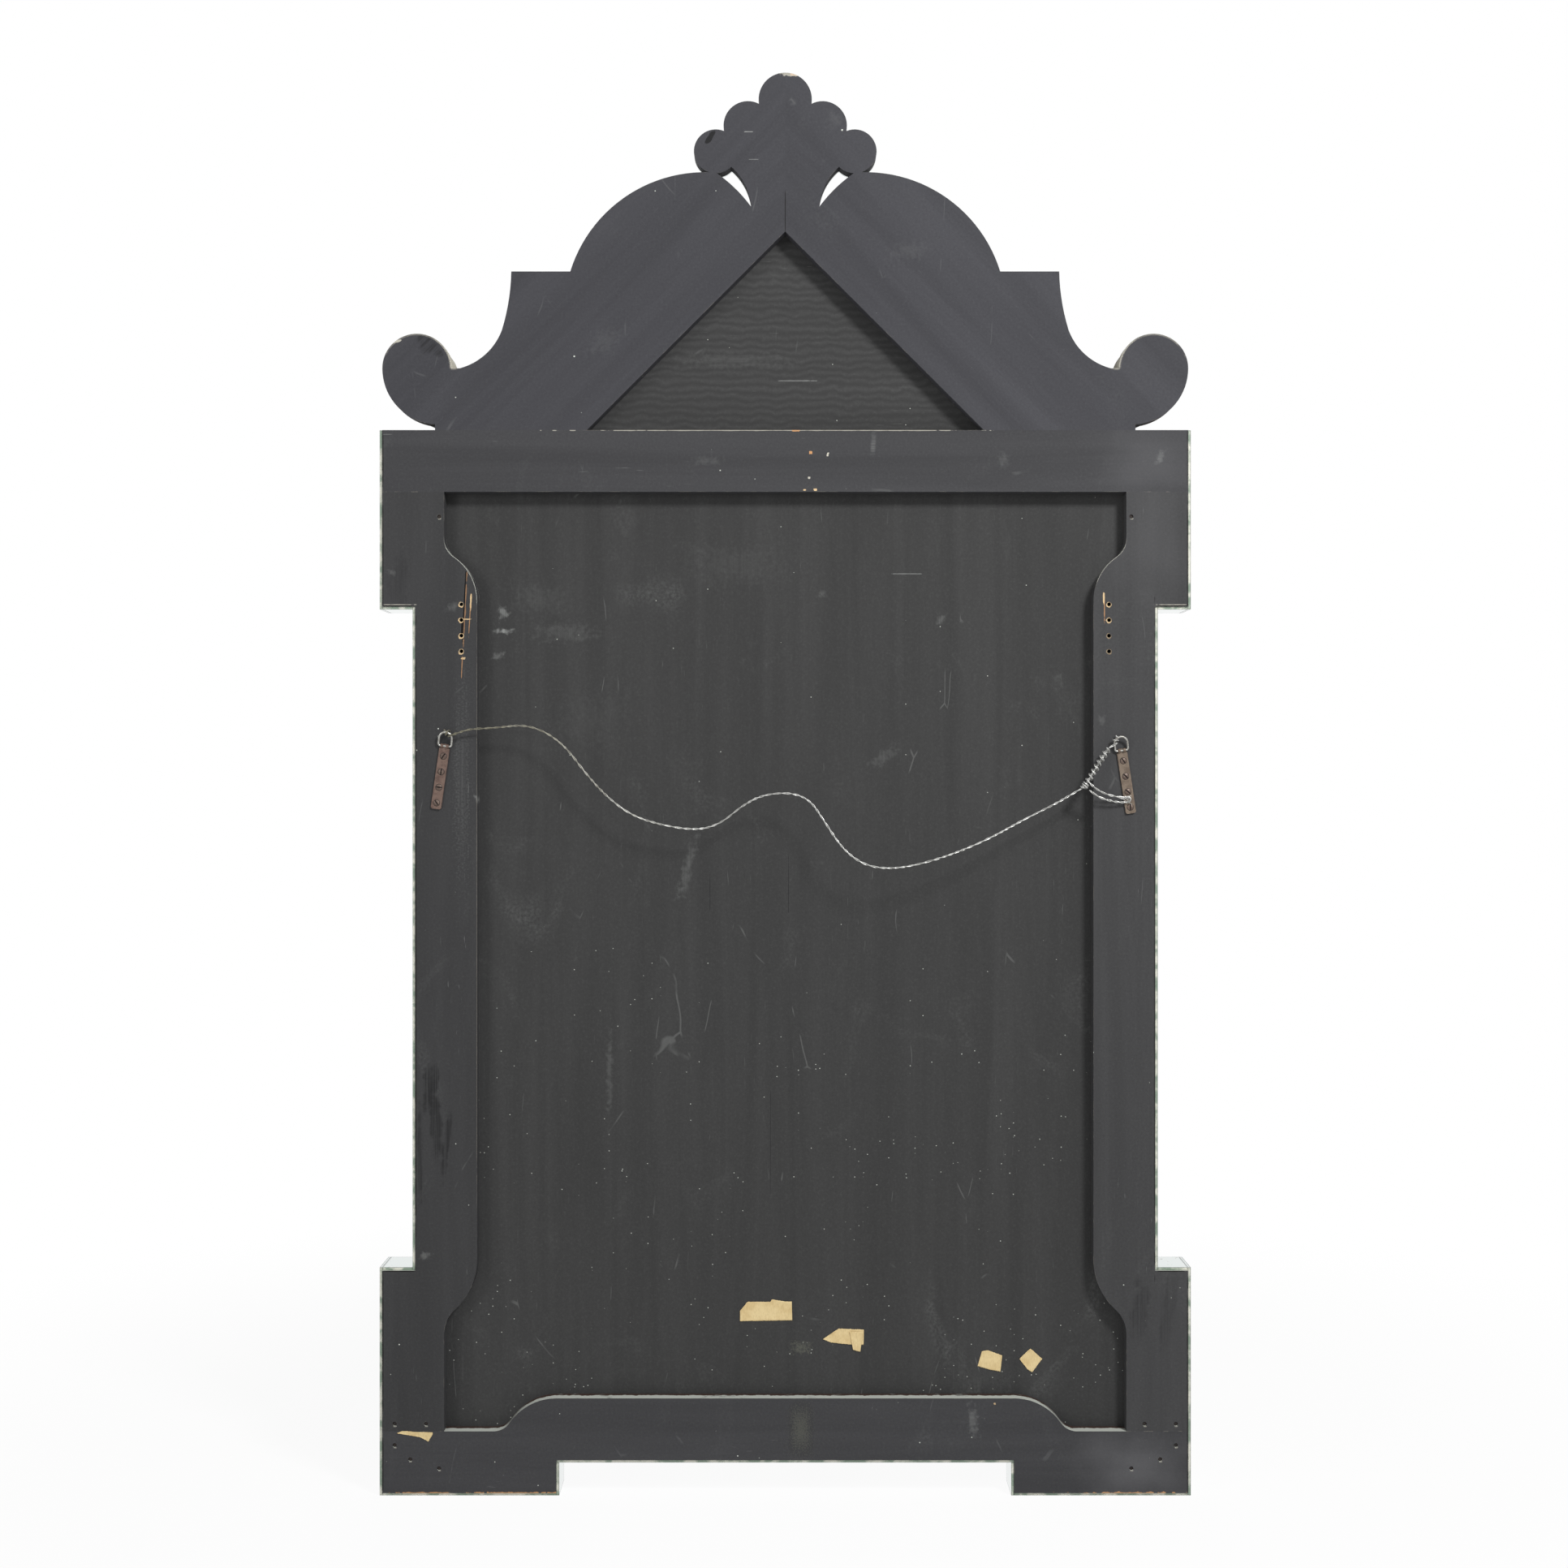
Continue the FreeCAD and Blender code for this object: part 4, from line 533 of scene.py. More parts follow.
for name, side in (("left", -1), ("right", 1)):
    slope = -CREST_SLOPE * side
    volute_face = Mark(GESSO, 0.95, (side * 411, 1306), (20, 26), 0, 0.6, 90, 0.2, 0, True)
    volute_edges = [
        Mark(GESSO, 0.5, (side * 445, 1322), (52, 30), 0, 0.9, 90, 0.5),
        Mark(GESSO, 1.0, (side * 412, 1304), (18, 24), 0, 0.3, 60, 0.4),
    ]
    crest_paint = painted_wood(
        f"{name}_crest_paint",
        CREST_PAINT,
        slope,
        [*crest_marks, volute_face],
        volute_edges,
        rub_width=4.5,
        dashes=0.1,
        unworn=[joint((0, 1480), (4, 220)), joint((side * 250, 1213), (260, 5))],
    )
    dress(crest_paint, f"{name}_crest_board")
    volute_core = [Mark(GESSO, 0.95, (side * 405, 1312), (26, 44), 0, 0.5, 60)]
    core_paint = painted_wood(f"{name}_crest_core_paint", CREST_CORE_PAINT, slope, volute_core, scuffs=0.2)
    dress(core_paint, f"{name}_crest_core")

# Panels: a thin sheet of upright grain that closes the back of the looking glass,
# and a triangle of wavy level grain in the crest. Both are painted thinly enough for the grain to show.
PANEL_PAINT, TRIANGLE_PAINT = seen(59, 59, 59), seen(63, 63, 63)
panel_marks = [
    chalky(0.8, (-344, 970), (13, 4), 0.9),
    chalky(0.5, (-345, 992), (8, 10)),
    chalky(0.09, (-270, 968), (50, 14), -0.4),
    chalky(0.35, (-350, 940), (8, 6), 0.4),
    chalky(0.06, (-300, 1010), (44, 24), -0.4),
    chalky(0.16, (-120, 680), (8, 48), 0.25),
    chalky(0.14, (-215, 430), (5, 60)),
    chalky(0.2, (190, 985), (7, 7), 0.5),
    chalky(0.12, (120, 815), (14, 16), 0.9),
    chalky(0.16, (45, 1015), (7, 6)),
    chalky(0.04, (-60, 1050), (80, 34)),
    chalky(0.03, (-240, 860), (60, 50), 0.4),
    Mark(CHALK, 0.3, (150, 1040), (18, 0.8), 0, 1.0, 120),
    Mark(RESIDUE, 0.6, (20, 94), (14, 9), 0, 1.6, 500, 1.0),
    Mark(BLACK_PAINT, 0.7, (4, 660), (0.5, 40), 0, 0.7, 90),
    Mark(BLACK_PAINT, 0.6, (-92, 655), (0.5, 22), 0, 0.7, 90),
    Mark(BLACK_PAINT, 0.5, (-18, 350), (0.5, 60), 0, 0.7, 90),
]
panel_paint = painted_wood(
    "back_panel_paint", PANEL_PAINT, ALONG_Z, panel_marks, specks=0.22, scuffs=0.9, dashes=0.1
)
dress(panel_paint, "back_panel")
triangle_marks = [
    Mark(CHALK, 0.45, (14, 1276), (24, 0.7), 0, 0.9, 140),
    chalky(0.07, (-60, 1300), (90, 12)),
]
triangle_paint = painted_wood(
    "tympanum_paint", TRIANGLE_PAINT, ALONG_X, triangle_marks, wave=0.6, dashes=0.25
)
dress(triangle_paint, "tympanum_panel")

# Carcass: bare softwood rails, stiles and blocks between the back boards and the glass, with hardwood dowels
# in the joints. While the mirror is whole, only the tops of the ears show any of it, from above.
PALE_SOFTWOOD, DARK_SOFTWOOD = seen(196, 160, 112), seen(150, 110, 68)
PALE_HARDWOOD, DARK_HARDWOOD = seen(214, 182, 138), seen(176, 140, 96)


def bare_wood(name, pale, dark, grain_turn):
    """Sawn wood: figure between a pale and a dark tint, with fibres in its height."""
    material, shader, place = new_material(name)
    grain = use(timber_grain, Vector=turned_about_y(place, grain_turn))
    tint = over(between(grain["Figure"], 0.3, 0.7), pale, dark)
    tint = coated(tint, (grain["Fibre"], 0.25, dark))
    rough = graded(grain["Fibre"], 0.2, 0.6)
    feed(shader, {"Base Color": tint, "Roughness": rough})
    feed(shader, {"Normal": bumped(grain["Fibre"], 0.3, 0.0006)})
    return material


carcass_rails = bare_wood("carcass_rail_wood", PALE_SOFTWOOD, DARK_SOFTWOOD, ALONG_X)
carcass_stiles = bare_wood("carcass_stile_wood", PALE_SOFTWOOD, DARK_SOFTWOOD, ALONG_Z)
dowel_wood = bare_wood("dowel_wood", PALE_HARDWOOD, DARK_HARDWOOD, ALONG_Z)
dress(carcass_rails, "front_top_rail", "front_bottom_rail", "left_foot_block", "right_foot_block")
dress(carcass_stiles, "left_front_stile", "right_front_stile")
dress(dowel_wood, "frame_dowels", "crest_dowels", "crest_seam_dowels")

# Nails: iron, driven through the corners of the back boards and sunk below their faces.
# They were painted over with the boards, and rust shows at their heads.


def aged_metal(name, colour, stain, spread, roughness, metallic, grit=900.0):
    """Metal with a stain in clouds over it, rougher and less bright where it is stained."""
    material, shader, place = new_material(name)
    clouds = between(cloud(place, spread, 5, 0.65), 0.38, 0.66)
    grains = cloud(place, grit, 3)
    tint = coated(over(clouds, colour, stain), (grains, 0.3, stain))
    rough = graded(clouds, 0.2, roughness)
    bright = graded(clouds, -0.6 * metallic, metallic)
    feed(shader, {"Base Color": tint, "Roughness": rough, "Metallic": bright})
    feed(shader, {"Normal": bumped(grains, 0.25, 0.0002)})
    return material


dress(aged_metal("nail_iron", seen(22, 20, 19), seen(44, 33, 27), 400, 0.6, 0.3), "corner_nails")

# Glass: a plain looking glass under bevelled border plates, and strips of mirror on the frame's edges.
# The silvering lies behind the glass, and has grown foxed in patches. Cut edges show green to cream.
# The ground rims are darkened and the bevels' ground slopes greyed with painted shade, and the looking
# glass's silver is a darker copy of the plates' silver, also painted shade.
# The looking glass's silver is darker than the plates' as painted shade, and the bevel grey and the rims'
# dark tint are painted shade too.
LOOKING_SILVER_SHADED, PLATE_SILVER = seen(204, 211, 209), seen(222, 228, 226)
BEVEL_SHADE_GREY = seen(150, 162, 160)
FOXING = seen(120, 112, 96)
CUT_GLASS = seen(140, 158, 140)
CREAM_EDGE = seen(226, 226, 212)
GROUND_RIM_AND_SHADE = seen(48, 56, 50)


def silvered_glass(name, silver, foxing, rim_width=1.1):
    """Mirror with foxed spots, ground rims darkened with painted shade, and green to cream cut glass where a
    face looks towards the wall. A plate's ground slopes, whose normals lean a little, are painted greyer than
    its flat, as painted shade."""
    material, shader, place = new_material(name)
    front = facing(material.node_tree)["Y"]
    cut = between(front, -0.5, -0.9)
    patches = between(cloud(place, 5, 4), 0.5, 0.66)
    spots = between(cloud(place, 160, 3), 0.62, 0.7)
    spot = times(times(spots, patches), foxing)
    edge = over(between(cloud(place, 60, 4), 0.4, 0.6), CUT_GLASS, CREAM_EDGE)
    # Painted shade: the ground slopes of the bevels are tinted grey.
    slope = times(between(front, 0.9995, 0.997), between(front, 0.9, 0.98))
    tint = coated(silver, (slope, 0.5, BEVEL_SHADE_GREY), (spot, 1.0, FOXING), (cut, 1.0, edge))
    # The ground rims are dull, and their dark tint is painted shade along the plates' edges.
    rim = times(use(edge_wear, Vector=place, Width=rim_width * MM, Amount=0.72)["Wear"], 0.9)
    tint = over(rim, tint, GROUND_RIM_AND_SHADE)
    dull = reckon("MAXIMUM", reckon("MAXIMUM", cut, rim), times(spot, 0.6))
    rough = graded(dull, 0.4, 0.03)
    bright = reckon("SUBTRACT", 1.0, dull)
    feed(shader, {"Base Color": tint, "Roughness": rough, "Metallic": bright})
    feed(shader, {"Normal": bumped(cloud(place, 9, 1), 0.03, 0.001)})
    return material


def on_both_sides(*parts):
    """The names of left and right pieces."""
    return [f"{side}_{part}" for side in ("left", "right") for part in parts]


plates = on_both_sides("border_plate", "upper_ear_plate", "lower_ear_plate", "foot_plate", "crest_plate")
strips = on_both_sides("stile_strip", "upper_ear_strip", "lower_ear_strip", "foot_strip")
# The looking glass's silver is painted darker than the plates' silver, as painted shade.
dress(silvered_glass("looking_glass", LOOKING_SILVER_SHADED, 0.5), "mirror_plate")
plate_glass = silvered_glass("plate_glass", PLATE_SILVER, 0.8)
dress(plate_glass, "top_border_plate", "bottom_border_plate", "tympanum_plate", "finial_plate", *plates)
strip_glass = silvered_glass("strip_glass", PLATE_SILVER, 0.7, rim_width=2.6)
dress(strip_glass, "bottom_rail_strip", "return_strips", *strips)

# Rosettes: moulded glass flowers, silvered beneath, which cover the plates' fixing holes.
# Each is held by a domed brass screw through its middle.
moulded, shader, place = new_material("moulded_glass")
swirl = cloud(place, 70, 3)
tint = over(between(swirl, 0.3, 0.7), seen(222, 234, 230), seen(196, 214, 209))
rough = graded(swirl, 0.1, 0.03)
feed(shader, {"Base Color": tint, "Roughness": rough, "Normal": bumped(swirl, 0.08, 0.001)})
feed(shader, {"IOR": 1.5, "Metallic": 0.75, "Coat Weight": 0.6})
dress(moulded, "rosettes")
dress(aged_metal("screw_brass", seen(196, 164, 96), seen(120, 92, 52), 260, 0.28, 1.0), "rosette_screws")

# Strap hangers: a strip of steel folded round the straight bar of a D-ring, brown with old rust,
# leaning inwards where the wire has pulled it, with four slotted round-head screws through each.
dress(aged_metal("left_strap_steel", seen(108, 88, 78), seen(84, 64, 56), 140, 0.5, 0.25), "left_strap")
dress(aged_metal("right_strap_steel", seen(118, 104, 90), seen(92, 78, 66), 140, 0.5, 0.25), "right_strap")
screw_steel = aged_metal("screw_steel", seen(108, 92, 82), seen(78, 62, 54), 240, 0.45, 0.3)
# The slot floors and head rims take dark dirt and painted shade, standing for the shade in the slots and at
# the heads' edges.
slot_dirt_and_shade = aged_metal("slot_dirt_and_shade", seen(34, 27, 23), seen(22, 17, 15), 500, 0.8, 0.1)

HANGERS = {
    "left": {"side": -1, "bar": (-412.8, -2.56, 829), "tilt": 8.2, "slots": (62, 90, 2, 132)},
    "right": {"side": 1, "bar": (408, -2.56, 823.5), "tilt": 8.5, "slots": (118, 130, 132, 82)},
}
FIRST_SCREW, SCREW_PITCH, STRAP_FACE = 12.5, 19, 0.16
HEAD_RADIUS, HEAD_HEIGHT, DIRT_AND_SHADE_RIM = 4.2, 1.3, 0.86
SLOT_WIDTH, SLOT_DEPTH, SLOT_WALL = 1.5, 1.2, 0.02
SHANK_RADIUS, SHANK_LENGTH, SHANK_SIDES = 1.9, 16, 16


def turn_y(degrees):
    """The turn about Y that takes X towards -Z."""
    c, s = math.cos(math.radians(degrees)), math.sin(math.radians(degrees))
    return np.array([[c, 0, s], [0, 1, 0], [-s, 0, c]])


def turn_x(degrees):
    """The turn about X that takes Y towards Z."""
    c, s = math.cos(math.radians(degrees)), math.sin(math.radians(degrees))
    return np.array([[1, 0, 0], [0, c, -s], [0, s, c]])


def hanger_point(hanger, local, lean=0):
    """Points in a hanger's own frame, with X along the bar and Z up the strap, put in the object's frame."""
    return local @ (turn_y(-hanger["side"] * hanger["tilt"]) @ turn_x(lean)).T + np.array(hanger["bar"])


def grid_faces(rows, columns, loop=False):
    """Four-sided faces of a grid of points. A looped grid joins its last column to its first."""
    index = np.arange(rows * columns).reshape(rows, columns)
    if loop:
        index = np.hstack([index, index[:, :1]])
    corners = [index[:-1, :-1], index[:-1, 1:], index[1:, 1:], index[1:, :-1]]
    return np.stack(corners, axis=-1).reshape(-1, 4)


def new_piece(name, points, faces, *materials, which=None):
    """A mesh object from points in millimetres and lists of faces, with doubles merged and faces turned
    outwards. Which of its materials a face has is 0 for all unless it is given."""
    mesh = bpy.data.meshes.new(name)
    mesh.from_pydata((np.asarray(points) * MM).tolist(), [], [np.asarray(face).tolist() for face in faces])
    for material in materials:
        mesh.materials.append(material)
    if which is not None:
        mesh.polygons.foreach_set("material_index", np.asarray(which, dtype=np.int32))
    work = bmesh.new()
    work.from_mesh(mesh)
    bmesh.ops.remove_doubles(work, verts=work.verts, dist=1e-6)
    bmesh.ops.dissolve_degenerate(work, edges=work.edges, dist=1e-7)
    bmesh.ops.recalc_face_normals(work, faces=work.faces)
    work.to_mesh(mesh)
    work.free()
    mesh.shade_smooth()
    piece = bpy.data.objects.new(name, mesh)
    bpy.context.scene.collection.objects.link(piece)
    return piece


def slotted_head(slot):
    """A round head on X and Z that rises towards -Y: a ball's cap over a disc, and where the distance across
    the slot is less than half its width, the lower of the cap and the slot's floor. The disc closes it
    beneath. The faces of the floor and of the rim take dirt and painted shade, for the shade in the slot
    and at the head's edge."""
    half = SLOT_WIDTH / 2
    side = HEAD_RADIUS * np.sin(np.linspace(0, math.pi / 2, 11))
    side = side[side > half + 0.1]
    across = np.concatenate([-side[::-1], [-half - SLOT_WALL, -half, 0, half, half + SLOT_WALL], side])
    ends = np.sin(np.linspace(-math.pi / 2, math.pi / 2, 19))
    x, share = np.meshgrid(across, ends, indexing="ij")
    z = share * np.sqrt(np.maximum(HEAD_RADIUS**2 - x**2, 0))
    ball = (HEAD_RADIUS**2 + HEAD_HEIGHT**2) / (2 * HEAD_HEIGHT)
    cap = np.sqrt(np.maximum(ball**2 - x**2 - z**2, 0)) - (ball - HEAD_HEIGHT)
    cap = np.where(np.abs(x) <= half, np.minimum(cap, HEAD_HEIGHT - SLOT_DEPTH), cap)
    cap = np.maximum(cap, 0)
    turn = turn_y(-slot + 90)
    top = np.stack([x, -cap, z], axis=-1).reshape(-1, 3) @ turn.T
    under = np.stack([x, np.zeros_like(x), z], axis=-1).reshape(-1, 3) @ turn.T
    faces = grid_faces(*x.shape)
    row = np.arange(len(faces)) // (len(ends) - 1)
    floor = np.maximum(np.abs(across[row]), np.abs(across[row + 1])) <= half
    rim = np.hypot(x, z).ravel()[faces].mean(axis=1) > DIRT_AND_SHADE_RIM * HEAD_RADIUS
    dirt_and_shade = np.concatenate([floor | rim, np.zeros(len(faces), bool)])
    return np.vstack([top, under]), np.vstack([faces, faces[:, ::-1] + len(top)]), dirt_and_shade


def shank():
    """A screw's shank: a round profile carried along Y, full to near its end and then drawn to a point."""
    radius = np.array([0.0, SHANK_RADIUS, SHANK_RADIUS, 0.0])
    depth = np.array([0.0, 0.0, SHANK_LENGTH - SHANK_RADIUS, SHANK_LENGTH])
    angle = np.linspace(0, 2 * math.pi, SHANK_SIDES, endpoint=False)
    ring = np.stack([np.cos(angle), np.zeros_like(angle), np.sin(angle)], axis=-1)
    points = radius[:, None, None] * ring + depth[:, None, None] * np.array([0.0, 1.0, 0.0])
    faces = grid_faces(len(radius), len(angle), loop=True)
    return points.reshape(-1, 3), faces, np.zeros(len(faces), bool)


for name, hanger in HANGERS.items():
    points, faces, dirt, total = [], [], [], 0
    for count, slot in enumerate(hanger["slots"]):
        seat = np.array([0, STRAP_FACE, -(FIRST_SCREW + count * SCREW_PITCH)])
        for part, part_faces, dirt_and_shade in (slotted_head(slot), shank()):
            points.append(hanger_point(hanger, part + seat))
            faces.append(part_faces + total)
            dirt.append(dirt_and_shade)
            total += len(part)
    points, faces, which = np.vstack(points), np.vstack(faces), np.concatenate(dirt)
    screws = new_piece(f"{name}_slotted_screws", points, faces, screw_steel, slot_dirt_and_shade, which=which)
    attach(screws, "frame")
    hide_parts(f"{name}_strap_screws")

# D-rings: steel wire bent to a straight bar under an arch, with a dull plating.
# Their bars lie in the straps' folds, where the rings are free to swing.
ring_steel = aged_metal("ring_steel", seen(188, 188, 184), seen(120, 116, 108), 300, 0.32, 0.9)
dress(ring_steel, "left_ring", "right_ring")

# Hanging wire: one soft picture wire of two twisted strands, lashed round both rings. It hangs slack in
# waves, and at the right its spare end is wound back round it, with a hairpin left over.
WIRE_RADIUS, TUBE_SIDES, TURN_POINTS = 1.4, 8, 16
STRANDS, STRAND_RADIUS, STRAND_REACH, LAY_LENGTH = 2, 0.62, 0.78, 19.0
SWAY, SWAY_LAYS = 0.9, 3.7
LOOSENESS, LOOSE_LAYS, DRIFT, DRIFT_LAYS = 0.2, 5.3, 1.4, 13
RING_WIRE, RING_HALF, RING_HEIGHT, RING_LEAN = 1.3, 7.85, 17.3, 14
LASHING_GAP, LASHING_TURNS, LASHING_ADVANCE = 0.35, 1.5, 41
LASHINGS = {"left": (104.5, -1), "right": (118.5, 1)}
wire_steel, shader, place = new_material("wire_steel")
patchy = graded(cloud(place, 30, 4), 0.3, apart(place)["X"])
tarnish = between(patchy, 0.1, -0.25)
grime = between(cloud(place, 150, 3, 0.7), 0.44, 0.6)
tint = over(tarnish, seen(200, 200, 197), seen(128, 124, 106))
tint = coated(tint, (grime, 0.5, seen(66, 65, 58)))
rough = graded(reckon("MAXIMUM", tarnish, grime), 0.25, 0.28)
feed(shader, {"Base Color": tint, "Roughness": rough, "Metallic": graded(tarnish, -0.3, 0.6)})


def smooth_line(name, route):
    """Points along the smooth spline that a route's points control, read from a curve with no bevel."""
    curve = bpy.data.curves.new(name, "CURVE")
    curve.dimensions = "3D"
    curve.resolution_u = 16
    spline = curve.splines.new("NURBS")
    spline.points.add(len(route) - 1)
    homogeneous = np.column_stack([np.asarray(route) * MM, np.ones(len(route))])
    spline.points.foreach_set("co", homogeneous.ravel())
    spline.order_u = 3
    spline.use_endpoint_u = True
    holder = bpy.data.objects.new(name, curve)
    bpy.context.scene.collection.objects.link(holder)
    bpy.context.view_layer.update()
    mesh = bpy.data.meshes.new_from_object(holder)
    points = np.empty(len(mesh.vertices) * 3)
    mesh.vertices.foreach_get("co", points)
    bpy.data.objects.remove(holder)
    bpy.data.curves.remove(curve)
    bpy.data.meshes.remove(mesh)
    return points.reshape(-1, 3) / MM


def travelled(line):
    """The length of a line up to each of its points."""
    return np.concatenate([[0], np.cumsum(np.linalg.norm(np.diff(line, axis=0), axis=1))])


def at_lengths(lengths, far, values):
    """Rows of values read at lengths along a line, straight between the lengths that they are given for."""
    return np.column_stack([np.interp(lengths, far, column) for column in values.T])


def unit(vectors):
    """Vectors brought to length 1."""
    return vectors / np.linalg.norm(vectors, axis=-1, keepdims=True)


def circled(centre, reach, angle, side, other):
    """Points round centres: an angle's cosine on one cross vector and its sine on another, times a reach."""
    return centre + reach * (np.cos(angle) * side + np.sin(angle) * other)


def tube(middle, side, other, radius):
    """A round tube: a circle on two cross vectors at each point of a line, closed at both ends."""
    ring = np.linspace(0, 2 * math.pi, TUBE_SIDES, endpoint=False)[None, :, None]
    points = circled(middle[:, None, :], radius, ring, side[:, None, :], other[:, None, :])
    faces = grid_faces(len(middle), TUBE_SIDES, loop=True).tolist()
    first, last = list(range(TUBE_SIDES)), (len(middle) - 1) * TUBE_SIDES
    return points.reshape(-1, 3), faces + [first[::-1], [corner + last for corner in first]]


def gathered(tubes):
    """Several tubes as one list of points and one of faces."""
    points, faces = [], []
    for tube_points, tube_faces in tubes:
        total = sum(len(part) for part in points)
        points.append(tube_points)
        faces += [[corner + total for corner in face] for face in tube_faces]
    return np.vstack(points), faces


def cross_vectors(line, across):
    """Two vectors square to a line at each of its points, the first as near as can be to the one given."""
    travel = unit(np.gradient(line, axis=0))
    side = unit(across - travel * np.sum(across * travel, axis=1, keepdims=True))
    return side, np.cross(travel, side)


def twisted(line, across, step=0.9):
    """Strands round a line: each is a tube whose centre goes round the line once in a lay length, with a
    sway, at a reach that draws in and out in uneven waves. The across vectors, one for each point of the
    line, set where the turns start."""
    far = travelled(line)
    marks = np.linspace(0, far[-1], max(int(far[-1] / step), 8) + 1)
    centre = at_lengths(marks, far, line)
    side, other = cross_vectors(centre, at_lengths(marks, far, across))
    wave = 2 * math.pi * marks / LAY_LENGTH
    turn = wave + SWAY * np.sin(wave / SWAY_LAYS)
    reach = STRAND_REACH - LOOSENESS * np.sin(wave / LOOSE_LAYS + DRIFT * np.sin(wave / DRIFT_LAYS)) ** 2
    tubes = []
    for strand in range(STRANDS):
        phase = turn + 2 * math.pi * strand / STRANDS
        middle = circled(centre, reach[:, None], phase[:, None], side, other)
        tubes.append(tube(middle, side, other, STRAND_RADIUS))
    return gathered(tubes)


def wire_piece(name, line, across, node):
    """A twisted stretch of wire that stands for one of the model's wires."""
    piece = new_piece(name, *twisted(line, across), wire_steel)
    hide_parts(node)
    return piece


def on_arch(name, out, depth, along):
    """Points so far out from the middle of a ring's arch, at a depth and at angles along the arch."""
    local = np.column_stack([out * np.cos(along), depth, RING_HEIGHT - RING_HALF + out * np.sin(along)])
    return hanger_point(HANGERS[name], local, RING_LEAN)


def lashing_route(name):
    """The lashing's turns, which go round the ring's wire while moving along its arch, and the arch."""
    first, way = LASHINGS[name]
    reach = RING_WIRE + LASHING_GAP + WIRE_RADIUS
    turn = np.linspace(0, LASHING_TURNS, round(LASHING_TURNS * TURN_POINTS) + 1)
    along = np.radians(first + way * LASHING_ADVANCE * turn)
    round_wire = 2 * math.pi * (turn - LASHING_TURNS) - math.pi / 2
    turns = on_arch(name, RING_HALF + reach * np.cos(round_wire), reach * np.sin(round_wire), along)
    return turns, on_arch(name, RING_HALF, 0 * along, along)


def with_ends(route, length):
    """A wound route with a straight start and end, and the line of travel at its end."""
    first, last = unit(route[0] - route[1]), unit(route[-1] - route[-2])
    return np.vstack([route[0] + first * length, route, route[-1] + last * length]), last


def nearest_offset(line, middle):
    """Vectors from the nearest point of a middle line to each point of another line."""
    gaps = np.linalg.norm(line[:, None, :] - middle[None, :, :], axis=2)
    return line - middle[np.argmin(gaps, axis=1)]


lashings = {}
lashing_ends = {}
for name in LASHINGS:
    route, middle = lashing_route(name)
    route, leaving = with_ends(route, 2 * WIRE_RADIUS)
    line = smooth_line(f"{name}_lashing_line", route)
    across = nearest_offset(line, middle)
    lashings[name] = wire_piece(f"{name}_lashing_strands", line, across, f"{name}_ring_lashing")
    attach(lashings[name], f"{name}_ring")
    lashing_ends[name] = (route[-1], leaving)

BAR_LEVEL = HANGERS["left"]["bar"][2]
LEFT_LEAD, RIGHT_LEAD, TAIL_LEAD = 8, 6, 7


def on_route(*places):
    """The wire's points: across the frame, out from the wall and up from the left ring's bar."""
    return np.array(places) * np.array([1, -1, 1]) + np.array([0, 0, BAR_LEVEL])


SPAN = on_route(
    (-381, 9.8, 20.5), (-350, 10, 21.8), (-316, 11, 25.8), (-288, 11.5, 16.5), (-264, 12, -2.5),
    (-242, 13, -32), (-217, 13.5, -60), (-186, 14, -84), (-148, 14, -96), (-106, 14, -102),
    (-78, 15, -94), (-52, 16, -72), (-27, 17, -59), (6, 19, -56), (30, 22, -65),
    (47, 25, -91), (68, 28, -123), (92, 30, -142), (120, 31, -148), (155, 30, -144),
    (199, 27, -131), (243, 23, -113), (287, 18, -89), (326, 14.5, -70), (349, 13, -56.5),
)
KNOT = on_route((361, 12.4, -49.5))[0]
TAIL = on_route(
    (384, 12, -57), (397, 8.5, -61), (408, 5.5, -62.2), (418.5, 4.1, -62), (418.5, 4.1, -68),
    (408, 5.3, -68.4), (397, 7.5, -67.4), (384, 10.5, -64), (374, 12.5, -59), (367, 13.5, -53.5),
)
CUT_FROM_KNOT = 30
FRONT = np.array([0.0, -1.0, 0.0])


def facing_front(line):
    """The way out from the wall, at every point of a line."""
    return np.tile(FRONT, (len(line), 1))


left_end, left_way = lashing_ends["left"]
right_end, right_way = lashing_ends["right"]
left_turn, right_turn = left_end + LEFT_LEAD * left_way, right_end + RIGHT_LEAD * right_way
standing = unit(right_turn - KNOT)
straight_start = KNOT + standing * np.linalg.norm(KNOT - SPAN[-1])
straight_end = right_turn - standing * RIGHT_LEAD
route = np.vstack([left_end, left_turn, SPAN, KNOT, straight_start, straight_end, right_turn, right_end])
line = smooth_line("hanging_line", route)
cut = np.argmin(np.linalg.norm(line - KNOT - CUT_FROM_KNOT * standing, axis=1))
span_line, end_line = line[: cut + 1], line[cut:]
span = wire_piece("hanging_strands", span_line, facing_front(span_line), "hanging_wire")
ring_end = wire_piece("knot_to_ring_strands", end_line, facing_front(end_line), "hanging_wire")

WRAP_TURNS, WRAP_PITCH, WRAP_GAP, WRAP_START = 7, 6.5, 0.45, 8
KNOT_TURNS, KNOT_PITCH, KNOT_REACH, KNOT_START = 2.5, 2.9, 3.9, -2
axis = -standing
front = unit(FRONT - axis * np.dot(FRONT, axis))
beside = np.cross(axis, front)


def wound(first, last, pitch, reach, start):
    """A helix round the standing wire, from its first turn to its last, and the points of its axis. Turns are
    counted from the knot towards the ring, and the helix starts so far from the knot."""
    turn = np.linspace(first, last, round(abs(last - first) * TURN_POINTS) + 1)[:, None]
    core = KNOT - axis * (turn * pitch + start)
    return circled(core, reach, 2 * math.pi * turn, front, beside), core


